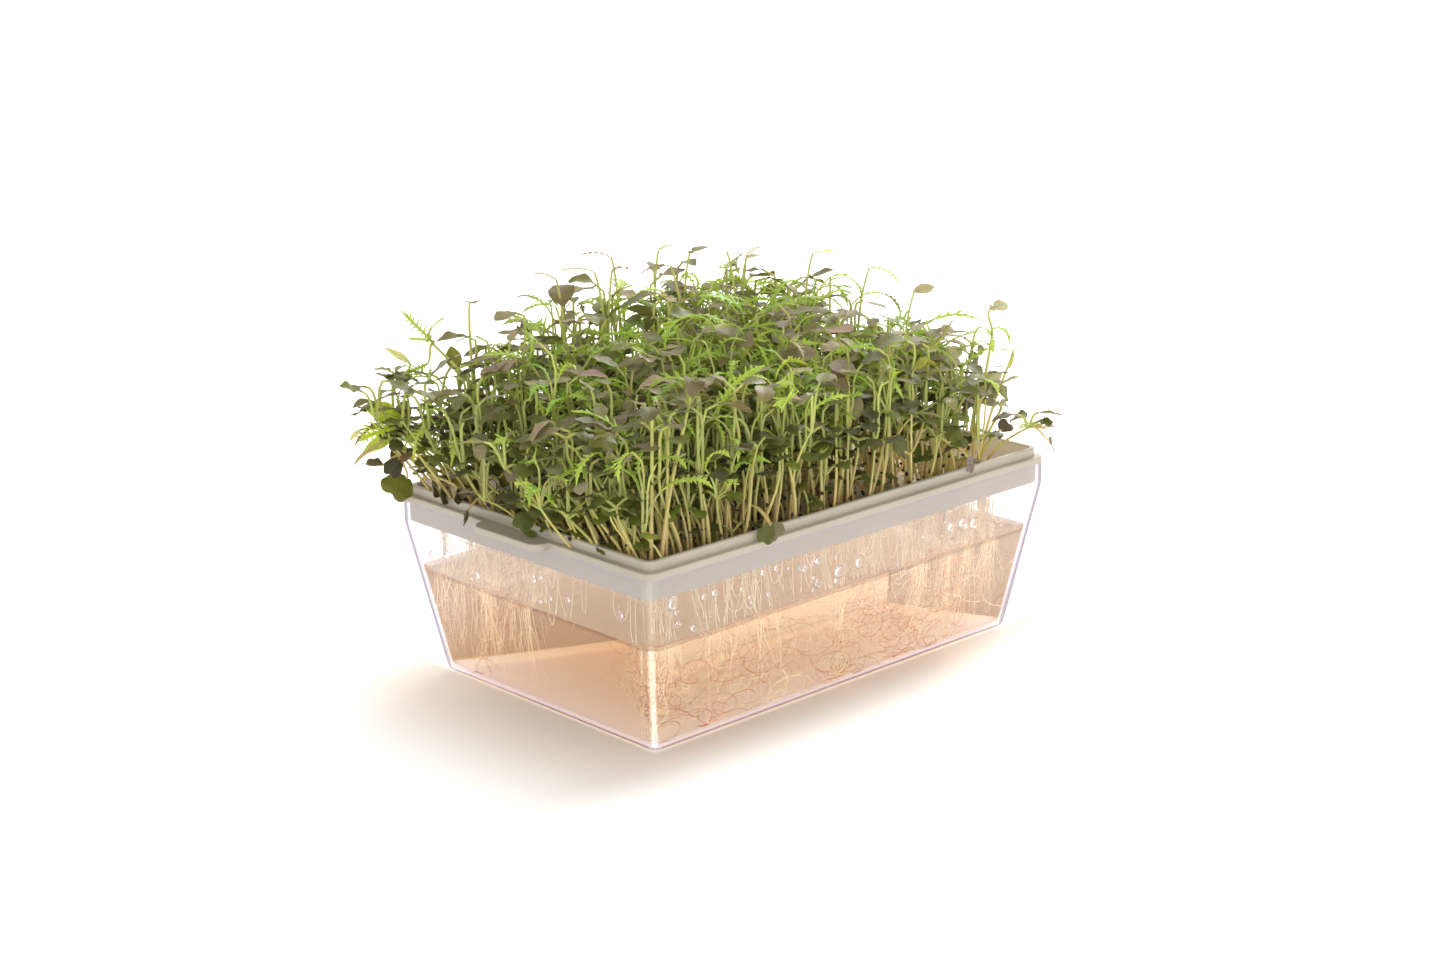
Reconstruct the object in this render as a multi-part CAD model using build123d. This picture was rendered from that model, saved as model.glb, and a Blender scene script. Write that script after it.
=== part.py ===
from build123d import *
import os
import random
from collections import namedtuple

# Soil-less microgreens tray: a clear reservoir tub part filled with nutrient
# solution, and a shallow grow tray that rests on the tub's rim, holding a bed
# of seed and a crop of seedlings whose roots hang down into the solution.
# Millimetres, +Z up.  Origin: centre of the tub's flat base.
# X runs along the long side, Y along the short side, the lift tab is at -X.

# ---- clear tub ----
LENGTH = 240.0            # outer length of tub rim and tray flange
WIDTH = 162.0             # outer width of tub rim and tray flange
TUB_HEIGHT = 78.5         # base to rim
TUB_WALL = 2.4
TUB_FLOOR = 2.8
BAND = 9.8                # upright band below the rim
KNEE = TUB_HEIGHT - BAND  # height where the sloping walls meet the band
DRAFT_INSET = 11.7        # how far each wall leans in from the band to the base
TUB_CORNER = 5.0          # plan radius of the outer corners
TUB_BASE_FILLET = 4.0     # round between walls and base, outside
CAVITY_BASE_FILLET = 2.0  # round between walls and floor, inside
RIM_FILLET = 0.5

# ---- nutrient solution ----
LIQUID_LEVEL = 47.7       # height of its surface
LIQUID_GAP = 0.15         # gap between the liquid solid and the tub
WELL_GAP = 0.4            # clearance round each root tuft

# ---- grow tray ----
FLANGE_T = 2.8            # flange thickness
FLANGE_FILLET = 0.6
LEDGE = 2.8               # flange width outside the upstand
UPSTAND = 4.0             # upstand height above the flange
TRAY_WALL = 2.2
SKIRT = 9.2               # how far the tray hangs inside the tub
TRAY_FLOOR = 1.6          # thickness of the perforated floor
TRAY_CORNER = 4.0         # plan radius of the wall, outside
INNER_CORNER_EXTRA = 0.6  # added to the plan radius of the wall, inside
TRAY_FILLET = 0.8         # round on the wall's bottom and top edges
TAB_OUT = 7.0             # lift tab, reach past the flange
TAB_WIDE = 43.0           # lift tab, width along Y
TAB_R = 6.0               # lift tab, corner radius
TAB_Y = 1.0               # lift tab, centre along Y
TAB_INSET = 4.0           # centre of the tab's plan, inside the flange edge
TAB_OVERLAP = 2.0         # depth of tab kept inside the flange edge
SLOT_L, SLOT_W = 9.0, 2.2 # drain and root slots in the floor
SLOT_NX, SLOT_NY = 16, 19
SLOT_PX, SLOT_PY = 13.8, 7.6

TRAY_L, TRAY_W = LENGTH - 2 * LEDGE, WIDTH - 2 * LEDGE
BED_L, BED_W = TRAY_L - 2 * TRAY_WALL, TRAY_W - 2 * TRAY_WALL
TRAY_LOW = TUB_HEIGHT - SKIRT
FLOOR_TOP = TRAY_LOW + TRAY_FLOOR
FLANGE_TOP = TUB_HEIGHT + FLANGE_T
TRAY_TOP = FLANGE_TOP + UPSTAND

# ---- root tufts ----
TUFTS_X, TUFTS_Y = 7, 4
TUFT_PX, TUFT_PY = 29.0, 31.0
TUFT_SCATTER = 2.0        # random shift either way in x and y
TUFT_R0, TUFT_R1 = 5.0, 1.8           # radius at the top and at the tip
TUFT_TIP = (14.0, 24.0)   # range of tip heights
TUFT_TOP = TRAY_LOW - 0.2 # just clear of the tray floor

# ---- seed bed ----
SEED_T = 1.8              # depth
SEED_GAP = 0.4            # gap to the tray wall
SEED_CORNER = 2.0
SEED_TOP = FLOOR_TOP + SEED_T

# ---- seedlings ----
STEM_R = 0.9
LEAF_T = 0.9
KNOB_R = 1.9              # growing point, where the leaf stalks join the stem
FOOT_CUT = 8.0            # side of the block that trims the foot of each stem
COLS, ROWS = 13, 8        # seedlings along X and along Y
PITCH_X, PITCH_Y = 17.0, 18.0
PLANT_SCATTER = 0.8       # random shift either way in x and y
CROP_TOP = 168.0          # greatest crop height, at the +Y side
CROP_HALF_Y = 80.0        # the height rises from -CROP_HALF_Y to +CROP_HALF_Y
NEAR_DROP = 24.0          # how much lower the crop is at the -Y side
# Towards -X the crop gets lower, and leans further out, by the amount given
# for each RUN beyond START.
END_DROP, END_DROP_START, END_DROP_RUN = 22.0, 70.0, 40.0
END_LEAN, END_LEAN_START, END_LEAN_RUN = 17.0, 60.0, 45.0
LEAN = 0.13               # outward spread, as a share of x and y
HEIGHT_SCATTER = 8.0      # greatest random loss of height

# Lower edges (x, y) of leaves drawn along +X, from stalk to tip.
STALK_START = (0.9, -0.5)
MUSTARD_EDGE = [          # heart-shaped seed leaf with a notch at its tip
    STALK_START, (2.6, -0.5), (3.4, -2.6), (5.0, -4.2),
    (7.2, -4.4), (8.6, -2.9), (8.5, -1.3), (7.3, 0.0)]
KALE_EDGE = [             # broad lobed leaf
    STALK_START, (4.0, -0.5), (5.2, -3.6), (7.2, -3.0), (8.8, -5.0),
    (11.0, -3.4), (13.4, -3.9), (14.4, -1.9), (16.6, 0.0)]

ON_BASE = (Align.CENTER, Align.CENTER, Align.MIN)
rng = random.Random(41)


# ---- helpers ----
def save(shape, name):
    shape.label = name
    export_step(shape, f"parts/{name}.step")


def slab(length, width, radius, z0, z1):
    return Pos(0, 0, z0) * extrude(RectangleRounded(length, width, radius), z1 - z0)


def taper(l0, w0, z0, l1, w1, z1, radius):
    """Loft between two centred rectangles with the same corner radius."""
    low = Pos(0, 0, z0) * RectangleRounded(l0, w0, radius)
    high = Pos(0, 0, z1) * RectangleRounded(l1, w1, radius)
    return loft([low, high])


def round_at(shape, z, radius):
    """Fillet every edge that lies at height z."""
    return fillet(shape.edges().filter_by_position(Axis.Z, z - 0.01, z + 0.01), radius)


def grid_place(index, count, pitch):
    return (index - (count - 1) / 2) * pitch


def scatter(amount):
    return rng.uniform(-amount, amount)


# ---- tub and solution ----
def inset_at(z):
    """How far each sloping wall stands in from the band at height z."""
    return DRAFT_INSET * (KNEE - z) / KNEE


def cavity(gap, z0, z1):
    """Inside of the tub, drawn in by gap, between two heights."""
    shrink = 2 * (TUB_WALL + gap)
    length, width = LENGTH - shrink, WIDTH - shrink
    radius = TUB_CORNER - TUB_WALL
    slope_top = min(KNEE, z1)
    in0, in1 = 2 * inset_at(z0), 2 * inset_at(slope_top)
    body = taper(length - in0, width - in0, z0,
                 length - in1, width - in1, slope_top, radius)
    if z1 > KNEE:
        body = body + slab(length, width, radius, KNEE, z1)
    return round_at(body, z0, CAVITY_BASE_FILLET)


def reservoir_tub():
    outer = taper(LENGTH - 2 * DRAFT_INSET, WIDTH - 2 * DRAFT_INSET, 0.0,
                  LENGTH, WIDTH, KNEE, TUB_CORNER)
    outer = outer + slab(LENGTH, WIDTH, TUB_CORNER, KNEE, TUB_HEIGHT)
    outer = round_at(outer, 0.0, TUB_BASE_FILLET)
    tub = outer - cavity(0.0, TUB_FLOOR, TUB_HEIGHT + 1.0)
    return round_at(tub, TUB_HEIGHT, RIM_FILLET)


def tuft_places():
    """Tip (x, y, z) of each root tuft."""
    return [(grid_place(i, TUFTS_X, TUFT_PX) + scatter(TUFT_SCATTER),
             grid_place(j, TUFTS_Y, TUFT_PY) + scatter(TUFT_SCATTER),
             rng.uniform(*TUFT_TIP))
            for i in range(TUFTS_X) for j in range(TUFTS_Y)]


def tuft(x, y, tip, gap=0.0):
    """Root tuft, grown by gap at its sides and tip."""
    height = TUFT_TOP - tip + gap
    return Pos(x, y, tip - gap) * Cone(TUFT_R1 + gap, TUFT_R0 + gap, height, align=ON_BASE)


def nutrient_solution(places):
    wells = [tuft(*place, gap=WELL_GAP) for place in places]
    return cavity(LIQUID_GAP, TUB_FLOOR + LIQUID_GAP, LIQUID_LEVEL) - wells


# ---- grow tray, one moulding ----
def lift_tab():
    plan = RectangleRounded(2 * (TAB_OUT + TAB_INSET), TAB_WIDE, TAB_R)
    tab = Pos(-LENGTH / 2 + TAB_INSET, TAB_Y, TUB_HEIGHT) * extrude(plan, FLANGE_T)
    keep_x = -LENGTH / 2 + (TAB_OVERLAP - TAB_OUT) / 2
    keep = Box(TAB_OUT + TAB_OVERLAP, TAB_WIDE + 4, 20)
    return tab & Pos(keep_x, TAB_Y, FLANGE_TOP) * keep


def grow_tray():
    wall = slab(TRAY_L, TRAY_W, TRAY_CORNER, TRAY_LOW, TRAY_TOP)
    wall = round_at(wall, TRAY_LOW, TRAY_FILLET)
    flange = slab(LENGTH, WIDTH, TUB_CORNER, TUB_HEIGHT, FLANGE_TOP) + lift_tab()
    flange = round_at(flange, FLANGE_TOP, FLANGE_FILLET)
    pan = wall + flange
    inner_corner = TRAY_CORNER - TRAY_WALL + INNER_CORNER_EXTRA
    pan = pan - slab(BED_L, BED_W, inner_corner, FLOOR_TOP, TRAY_TOP + 1)
    pan = round_at(pan, TRAY_TOP, TRAY_FILLET)
    slots = Sketch() + [
        Pos(grid_place(i, SLOT_NX, SLOT_PX), grid_place(j, SLOT_NY, SLOT_PY))
        * SlotOverall(SLOT_L, SLOT_W)
        for i in range(SLOT_NX) for j in range(SLOT_NY)]
    return pan - Pos(0, 0, TRAY_LOW - 1) * extrude(slots, TRAY_FLOOR + 2)


def seed_bed():
    return slab(BED_L - 2 * SEED_GAP, BED_W - 2 * SEED_GAP, SEED_CORNER, FLOOR_TOP, SEED_TOP)


# ---- seedlings ----
def mizuna_edge():
    """Lower edge of a narrow saw-edged leaf with four teeth."""
    points = [STALK_START, (4.0, -0.5)]
    for k in range(4):
        x = 5.0 + 3.1 * k
        reach = 4.0 - 0.55 * abs(k - 1.0)
        points += [(x, -1.4), (x + 1.4, -reach), (x + 2.4, -1.4)]
    return points + [(18.8, 0.0)]


def leaf_face(edge):
    """Flat leaf from its lower edge, mirrored about X; the tip is shared."""
    mirrored = [(x, -y) for x, y in reversed(edge[:-1])]
    return make_face(Polyline(*edge, *mirrored, close=True))


# leaves: number per plant; tilt: range of degrees above level;
# drop: height of the growing point below the crop height.
Species = namedtuple("Species", "face leaves tilt drop")
SPECIES = {
    "mustard": Species(leaf_face(MUSTARD_EDGE), leaves=2, tilt=(5, 30), drop=8.0),
    "kale": Species(leaf_face(KALE_EDGE), leaves=3, tilt=(52, 68), drop=16.0),
    "mizuna": Species(leaf_face(mizuna_edge()), leaves=3, tilt=(58, 74), drop=20.0),
}


def crop_height(x, y):
    """Height of the crop: tallest along the +Y side, lowered at the tab end."""
    far = max(0.0, min(1.0, (y + CROP_HALF_Y) / (2 * CROP_HALF_Y)))
    tab_end = max(0.0, (-x - END_DROP_START) / END_DROP_RUN)
    return CROP_TOP - NEAR_DROP * (1.0 - far) - END_DROP * tab_end


def seedling(kind, x, y):
    species = SPECIES[kind]
    base = Vector(x, y, SEED_TOP)
    lean_x = x * LEAN - END_LEAN * max(0.0, (-x - END_LEAN_START) / END_LEAN_RUN)
    top_z = crop_height(x, y) - species.drop - rng.uniform(0.0, HEIGHT_SCATTER)
    top = Vector(x + lean_x, y + y * LEAN, top_z)
    run = top - base
    stem = Plane(origin=base, z_dir=run) * Cylinder(STEM_R, run.length, align=ON_BASE)
    # The leaning stem's end dips into the seed bed, so trim it level.
    foot = Pos(*base) * Box(FOOT_CUT, FOOT_CUT, FOOT_CUT,
                            align=(Align.CENTER, Align.CENTER, Align.MAX))
    plant = (stem - foot) + Pos(*top) * Sphere(KNOB_R)
    turn = rng.uniform(0.0, 360.0)
    for k in range(species.leaves):
        tilt = rng.uniform(*species.tilt)
        around = turn + k * 360.0 / species.leaves
        blade = Pos(0, 0, -LEAF_T / 2) * extrude(species.face, LEAF_T)
        plant = plant + Pos(*top) * Rot(0, 0, around) * Rot(0, -tilt, 0) * blade
    return plant


def kind_at(i, j):
    """Species in column i, row j: the end columns have their own mixes."""
    if i < 3:
        return ("mustard", "mustard", "kale")[(i + j) % 3]
    if i > 10:
        return ("mizuna", "kale", "mizuna")[(i + j) % 3]
    return ("mustard", "kale", "mizuna")[(i * 2 + j + (i * j) % 2) % 3]


def crop():
    """Seedlings grouped by species and row, as name: plants."""
    groups = {}
    for j in range(ROWS):
        for i in range(COLS):
            x = grid_place(i, COLS, PITCH_X) + scatter(PLANT_SCATTER)
            y = grid_place(j, ROWS, PITCH_Y) + scatter(PLANT_SCATTER)
            kind = kind_at(i, j)
            name = f"{kind}_seedlings_row_{j + 1}"
            groups.setdefault(name, []).append(seedling(kind, x, y))
    return groups


# ---- build; the tufts draw their random numbers before the crop ----
os.makedirs("parts", exist_ok=True)
save(reservoir_tub(), "reservoir_tub")
places = tuft_places()
save(Compound(children=[tuft(*place) for place in places]), "root_tufts")
save(nutrient_solution(places), "nutrient_solution")
save(grow_tray(), "grow_tray")
save(seed_bed(), "seed_bed")
for name, plants in crop().items():
    save(Compound(children=plants), name)
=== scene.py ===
"""Tray of mustard, kale and mizuna seedlings on a clear tub of nutrient solution.

The long side lies along X and the short side along Y, both centred, and the base stands on
z = 0 with +Z up. The camera looks from -X -Y. Shapes are worked out in millimetres and
turned into metres when a mesh is built.
"""
import bpy
import math
from functools import lru_cache
import numpy as np
from mathutils import Matrix, Vector
from mathutils.geometry import delaunay_2d_cdt


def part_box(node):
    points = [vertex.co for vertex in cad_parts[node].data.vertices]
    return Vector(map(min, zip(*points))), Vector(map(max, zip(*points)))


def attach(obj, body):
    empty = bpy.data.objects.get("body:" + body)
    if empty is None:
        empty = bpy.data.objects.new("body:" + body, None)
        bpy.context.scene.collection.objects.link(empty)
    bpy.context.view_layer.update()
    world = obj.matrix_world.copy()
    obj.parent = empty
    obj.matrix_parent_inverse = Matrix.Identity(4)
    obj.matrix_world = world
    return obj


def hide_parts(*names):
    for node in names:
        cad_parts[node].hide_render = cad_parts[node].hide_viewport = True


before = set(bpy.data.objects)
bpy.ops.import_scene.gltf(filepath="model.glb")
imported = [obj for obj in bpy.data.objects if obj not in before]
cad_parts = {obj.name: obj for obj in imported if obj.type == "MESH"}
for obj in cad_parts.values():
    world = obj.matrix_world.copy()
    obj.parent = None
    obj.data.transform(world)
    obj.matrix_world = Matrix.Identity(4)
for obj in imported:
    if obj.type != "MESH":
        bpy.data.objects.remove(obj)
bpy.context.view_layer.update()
MM = 0.001
TINY = 1e-12            # keeps a division away from zero
UP = np.array([0.0, 0.0, 1.0])

# ---------------------------------------------------------------- sizes, mm
tub_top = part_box("reservoir_tub")[1]
seed_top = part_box("seed_bed")[1]
HALF_X, HALF_Y, RIM = tub_top.x / MM, tub_top.y / MM, tub_top.z / MM
BED_X, BED_Y, SEED_TOP = seed_top.x / MM, seed_top.y / MM, seed_top.z / MM
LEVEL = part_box("nutrient_solution")[1].z / MM       # surface of the solution
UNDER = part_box("grow_tray")[0].z / MM               # underside of the tray
WALL, FLOOR = 2.4, 2.8      # thickness of the tub's wall and floor
BAND = 9.8                  # height of the upright band below the rim
INSET = 11.7                # how far the base is drawn in from the rim on each side
KNEE = RIM - BAND           # height where the wall starts to slope in
STEM_FOOT = SEED_TOP - 0.6

# ---------------------------------------------------------------- camera pose, metres
CAM_PLACE = (-0.7303996, -0.7743162, 0.3908468)
CAM_RIGHT = (0.72677223, -0.68676667, -0.01239596)
CAM_UP = (0.20266783, 0.19716044, 0.9591942)
CAM_BACK = (-0.65629862, -0.69962797, 0.28247625)


def linear(*screen):
    """8-bit screen colour to linear."""
    shares = [value / 255.0 for value in screen]
    return np.array([share / 12.92 if share <= 0.04045 else ((share + 0.055) / 1.055) ** 2.4
                     for share in shares])


def inner_half(z):
    """Half length and half width of the tub's inside at a height."""
    drawn_in = INSET * np.maximum(0.0, KNEE - z) / KNEE
    return HALF_X - drawn_in - WALL, HALF_Y - drawn_in - WALL


# ---------------------------------------------------------------- mesh building
class Triangles:
    """Gathers triangles, in mm, with a colour and a leaf coordinate at each vertex."""

    def __init__(self):
        self.points, self.faces, self.slots, self.colours, self.leaves = [], [], [], [], []
        self.count = 0

    def add(self, points, faces, slot, colour, leaf=None):
        points = np.asarray(points, float)
        self.points.append(points)
        self.faces.append(np.asarray(faces, np.int64) + self.count)
        self.slots.append(np.full(len(faces), slot, np.int32))
        self.colours.append(np.broadcast_to(np.asarray(colour, float), (len(points), 3)))
        self.leaves.append(np.zeros((len(points), 3)) if leaf is None else leaf)
        self.count += len(points)

    def build(self, name, materials, sharp=None):
        """Makes the object, smooth shaded, with edges steeper than sharp degrees kept sharp."""
        faces = np.concatenate(self.faces)
        mesh = bpy.data.meshes.new(name)
        mesh.vertices.add(self.count)
        points = np.concatenate(self.points) * MM
        mesh.vertices.foreach_set("co", points.astype(np.float32).ravel())
        mesh.loops.add(len(faces) * 3)
        mesh.loops.foreach_set("vertex_index", faces.astype(np.int32).ravel())
        mesh.polygons.add(len(faces))
        starts = np.arange(0, len(faces) * 3, 3, dtype=np.int32)
        mesh.polygons.foreach_set("loop_start", starts)
        mesh.polygons.foreach_set("loop_total", np.full(len(faces), 3, np.int32))
        mesh.polygons.foreach_set("material_index", np.concatenate(self.slots))
        mesh.update(calc_edges=True)
        mesh.validate()
        mesh.polygons.foreach_set("use_smooth", np.full(len(mesh.polygons), True))
        colours = np.concatenate([np.concatenate(self.colours), np.ones((self.count, 1))], 1)
        layer = mesh.color_attributes.new("Col", "FLOAT_COLOR", "POINT")
        layer.data.foreach_set("color", colours.astype(np.float32).ravel())
        layer = mesh.attributes.new("Leaf", "FLOAT_VECTOR", "POINT")
        layer.data.foreach_set("vector", np.concatenate(self.leaves).astype(np.float32).ravel())
        if sharp:
            mesh.set_sharp_from_angle(angle=math.radians(sharp))
        for material in materials:
            mesh.materials.append(material)
        made = bpy.data.objects.new(name, mesh)
        bpy.context.scene.collection.objects.link(made)
        return made


@lru_cache(maxsize=None)
def ring_faces(rings, sides):
    """Triangles that join rings of points, closed at both ends."""
    here = np.arange(sides)
    after = (here + 1) % sides
    faces = []
    for i in range(rings - 1):
        low, high = i * sides, (i + 1) * sides
        faces.append(np.stack([low + here, low + after, high + after], 1))
        faces.append(np.stack([low + here, high + after, high + here], 1))
    fan = np.arange(1, sides - 1)
    hub = np.zeros_like(fan)
    last = (rings - 1) * sides
    faces.append(np.stack([hub, fan + 1, fan], 1))
    faces.append(np.stack([last + hub, last + fan, last + fan + 1], 1))
    return np.concatenate(faces)


def tube(path, radius, sides):
    """Closed tube round a path, with one radius or one for each point."""
    path = np.asarray(path, float)
    count = len(path)
    along = np.gradient(path, axis=0)
    along /= np.linalg.norm(along, axis=1)[:, None] + TINY
    helper = UP if abs(along[0][2]) < 0.8 else np.array([1.0, 0.0, 0.0])
    side = np.cross(helper, along[0])
    side /= np.linalg.norm(side)
    first = np.zeros_like(path)
    for i in range(count):      # carries the side direction along without twist
        side = side - along[i] * (side @ along[i])
        side /= np.linalg.norm(side) + TINY
        first[i] = side
    second = np.cross(along, first)
    angle = np.arange(sides) * 2 * math.pi / sides
    radii = np.broadcast_to(np.asarray(radius, float), (count,))
    rings = path[:, None, :] + radii[:, None, None] * (
        np.cos(angle)[None, :, None] * first[:, None, :]
        + np.sin(angle)[None, :, None] * second[:, None, :])
    return rings.reshape(-1, 3), ring_faces(count, sides)


def bezier(start, leave, arrive, end, count):
    step = np.linspace(0, 1, count)[:, None]
    back = 1 - step
    return ((back ** 3) * start + 3 * (back ** 2) * step * leave
            + 3 * back * step * step * arrive + step ** 3 * end)


# ---------------------------------------------------------------- leaf shapes
# Outlines are in unit lengths, x running 0 to 1 from the stalk to the tip.
def inside(outline, point):
    x, y = point
    result = False
    x_last, y_last = outline[-1]
    for x_next, y_next in outline:
        if (y_next > y) != (y_last > y):
            if x < (x_last - x_next) * (y - y_next) / (y_last - y_next) + x_next:
                result = not result
        x_last, y_last = x_next, y_next
    return result


def edge_distance(outline, points):
    corners = np.array(outline)
    best = np.full(len(points), 1e9)
    for start, end in zip(corners, np.roll(corners, -1, 0)):
        run = end - start
        share = np.clip(((points - start) @ run) / (run @ run + TINY), 0, 1)
        gap = np.linalg.norm(points - (start + share[:, None] * run), axis=1)
        best = np.minimum(best, gap)
    return best


def clean_outline(outline):
    """Drops points closer than the gap to the one before."""
    gap = 0.006
    kept = []
    for point in outline:
        if not kept or math.dist(point, kept[-1]) > gap:
            kept.append(point)
    if math.dist(kept[0], kept[-1]) < gap:
        kept.pop()
    return kept


def template(outline, step, thick, rib):
    """Closed thin leaf, filled with points a step apart and ribbed below its midline.

    Returns points, triangles and leaf coordinates (along, across, +1 top or -1 under).
    """
    outline = [tuple(map(float, point)) for point in clean_outline(outline)]
    corners = np.array(outline)
    low, high = corners.min(0), corners.max(0)
    grid = []
    row = 0
    y = low[1] + step * 0.5
    while y < high[1]:
        x = low[0] + step * (0.25 if row % 2 else 0.75)
        while x < high[0]:
            grid.append((x, y))
            x += step
        y += step * 0.87
        row += 1
    grid = [point for point in grid if inside(outline, point)]
    if grid:
        gaps = edge_distance(outline, np.array(grid))
        grid = [point for point, gap in zip(grid, gaps) if gap > step * 0.42]
    seeds = [Vector(point) for point in outline + grid]
    found = delaunay_2d_cdt(seeds, [], [list(range(len(outline)))], 1, 1e-7)
    flat = np.array([[point.x, point.y] for point in found[0]])
    faces = np.array([list(face) for face in found[2]], np.int64)
    area = np.cross(flat[faces[:, 1]] - flat[faces[:, 0]], flat[faces[:, 2]] - flat[faces[:, 0]])
    faces[area < 0] = faces[area < 0][:, ::-1]
    edges = dict.fromkeys((face[i], face[(i + 1) % 3]) for face in faces for i in range(3))
    gap = edge_distance(outline, flat)
    body = np.clip(gap / (gap.max() + 1e-9), 0, 1) ** 0.5
    top = thick * (0.25 + 0.75 * body) * 0.5
    ridge = rib * np.exp(-(flat[:, 1] / 0.03) ** 2) * np.clip(1.15 - flat[:, 0], 0, 1)
    count = len(flat)
    points = np.concatenate([np.column_stack([flat, top]), np.column_stack([flat, -top - ridge])])
    walls = []
    for start, end in edges:
        if (end, start) not in edges:
            walls += [(start, start + count, end), (end, start + count, end + count)]
    faces = np.concatenate([faces, faces[:, ::-1] + count, np.array(walls, np.int64)])
    face_side = np.ones(count)
    leaf = np.concatenate([np.column_stack([flat, face_side]), np.column_stack([flat, -face_side])])
    return points, faces, leaf


def heart(notch, wide):
    """Seed leaf: two round lobes with a notch at the tip, narrowing to its stalk."""
    count = 26
    points = []
    for i in range(count):
        angle = -math.pi * 0.94 + 2 * math.pi * 0.94 * i / (count - 1)
        radius = (0.5 * (1 - notch * 2.2 * math.exp(-(angle / 0.36) ** 2))
                  * (1.0 + 0.10 * math.cos(angle * 2)))
        x = 0.56 + radius * math.cos(angle) * (0.92 if abs(angle) < 1.6 else 1.12)
        narrow = 1.0 - 0.25 * max(0.0, (abs(angle) - 1.7) / 1.3)
        points.append((x, radius * math.sin(angle) * wide * 2 * narrow))
    return [(0.0, -0.035)] + points + [(0.0, 0.035)]


def ovate(seed, wide, depth, peak, ears):
    """Rounded oval leaf with a slightly wavy edge, some with small lobes near the stalk."""
    rng = np.random.default_rng(seed)
    sides = []
    for side in (-1, 1):
        phase, fine_phase = rng.uniform(0, 6.28, 2)
        x = 0.5 - 0.5 * np.cos(np.linspace(0.0, math.pi, 17))
        power = math.log(0.5) / math.log(peak)      # puts the widest place at peak
        y = wide * np.sin(np.pi * np.clip(x, 0, 1) ** power) ** 0.72
        y = y * (1 + depth * np.sin(7.5 * x + phase) + 0.4 * depth * np.sin(21 * x + fine_phase))
        if ears:
            y = (y * (1 - 0.6 * np.exp(-((x - 0.24) / 0.06) ** 2))
                 + ears * np.exp(-((x - 0.13) / 0.05) ** 2))
        y = np.maximum(y, 0.03)
        y[-1] = 0.035
        sides.append([(float(along), float(side * out)) for along, out in zip(x, y)])
    return sides[0] + sides[1][::-1]


def feather(seed, pairs, reach, rachis):
    """Narrow strap with slim pointed lobes that lean forward, ending in a small blade."""
    rng = np.random.default_rng(seed)
    start, fork_chance, lean = 0.10, 0.4, 0.75
    pitch = (0.86 - start) / pairs
    sides = []
    for side in (-1, 1):
        points = [(0.0, rachis * 0.75)]
        offset = rng.uniform(-0.25, 0.25) * pitch
        for k in range(pairs):
            x = start + offset + k * pitch
            share = (k + 0.5) / pairs
            mid = rachis * (0.8 + 0.5 * share)
            length = (reach * (0.35 + 0.8 * math.sin(math.pi * min(1.0, 0.15 + 0.8 * share)))
                      * rng.uniform(0.5, 1.2))
            width = pitch * rng.uniform(0.34, 0.46)
            sweep = length * lean * rng.uniform(0.7, 1.2)
            points += [(x, mid), (x + sweep * 0.55, mid + length * 0.5)]
            if rng.uniform() < fork_chance:
                points += [(x + sweep * 0.5, mid + length * 0.78),
                           (x + sweep * 0.7, mid + length * 0.62)]
            points += [(x + sweep, mid + length),
                       (x + sweep + 0.012, mid + length * 0.96),
                       (x + sweep * 0.5 + width * 0.62, mid + length * 0.42),
                       (x + width, mid)]
        end = points[-1][0]
        points += [(end + 0.03, rachis * 1.2), (end + 0.055, rachis * 2.0),
                   (end + 0.07, rachis * 1.1), (max(end + 0.10, 1.0), rachis * 0.35)]
        sides.append([(along, side * out) for along, out in points])
    return sides[0] + sides[1][::-1]


# notch, width
HEART_SHAPES = ((0.17, 0.64), (0.13, 0.60), (0.20, 0.68), (0.15, 0.56))
# seed, width, depth of the waves, place of the widest point, size of the stalk lobes
BROAD_SHAPES = (
    (1, 0.27, 0.03, 0.50, 0.0), (2, 0.24, 0.04, 0.54, 0.09), (3, 0.31, 0.03, 0.47, 0.0),
    (4, 0.26, 0.05, 0.56, 0.11), (5, 0.22, 0.03, 0.46, 0.0), (6, 0.29, 0.04, 0.52, 0.0),
    (7, 0.25, 0.03, 0.50, 0.07), (8, 0.33, 0.03, 0.48, 0.0),
)
# seed, pairs of lobes, reach of the lobes, half width of the strap
FEATHER_SHAPES = (
    (11, 6, 0.13, 0.030), (12, 7, 0.10, 0.026), (13, 5, 0.17, 0.034), (14, 8, 0.08, 0.028),
    (15, 6, 0.15, 0.038), (16, 5, 0.20, 0.030), (17, 7, 0.06, 0.024),
)
HEARTS = [template(heart(*row), step=0.15, thick=0.055, rib=0.02) for row in HEART_SHAPES]
BROAD = [template(ovate(*row), step=0.13, thick=0.036, rib=0.02) for row in BROAD_SHAPES]
FEATHER = [template(feather(*row), step=0.40, thick=0.024, rib=0.024) for row in FEATHER_SHAPES]


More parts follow.
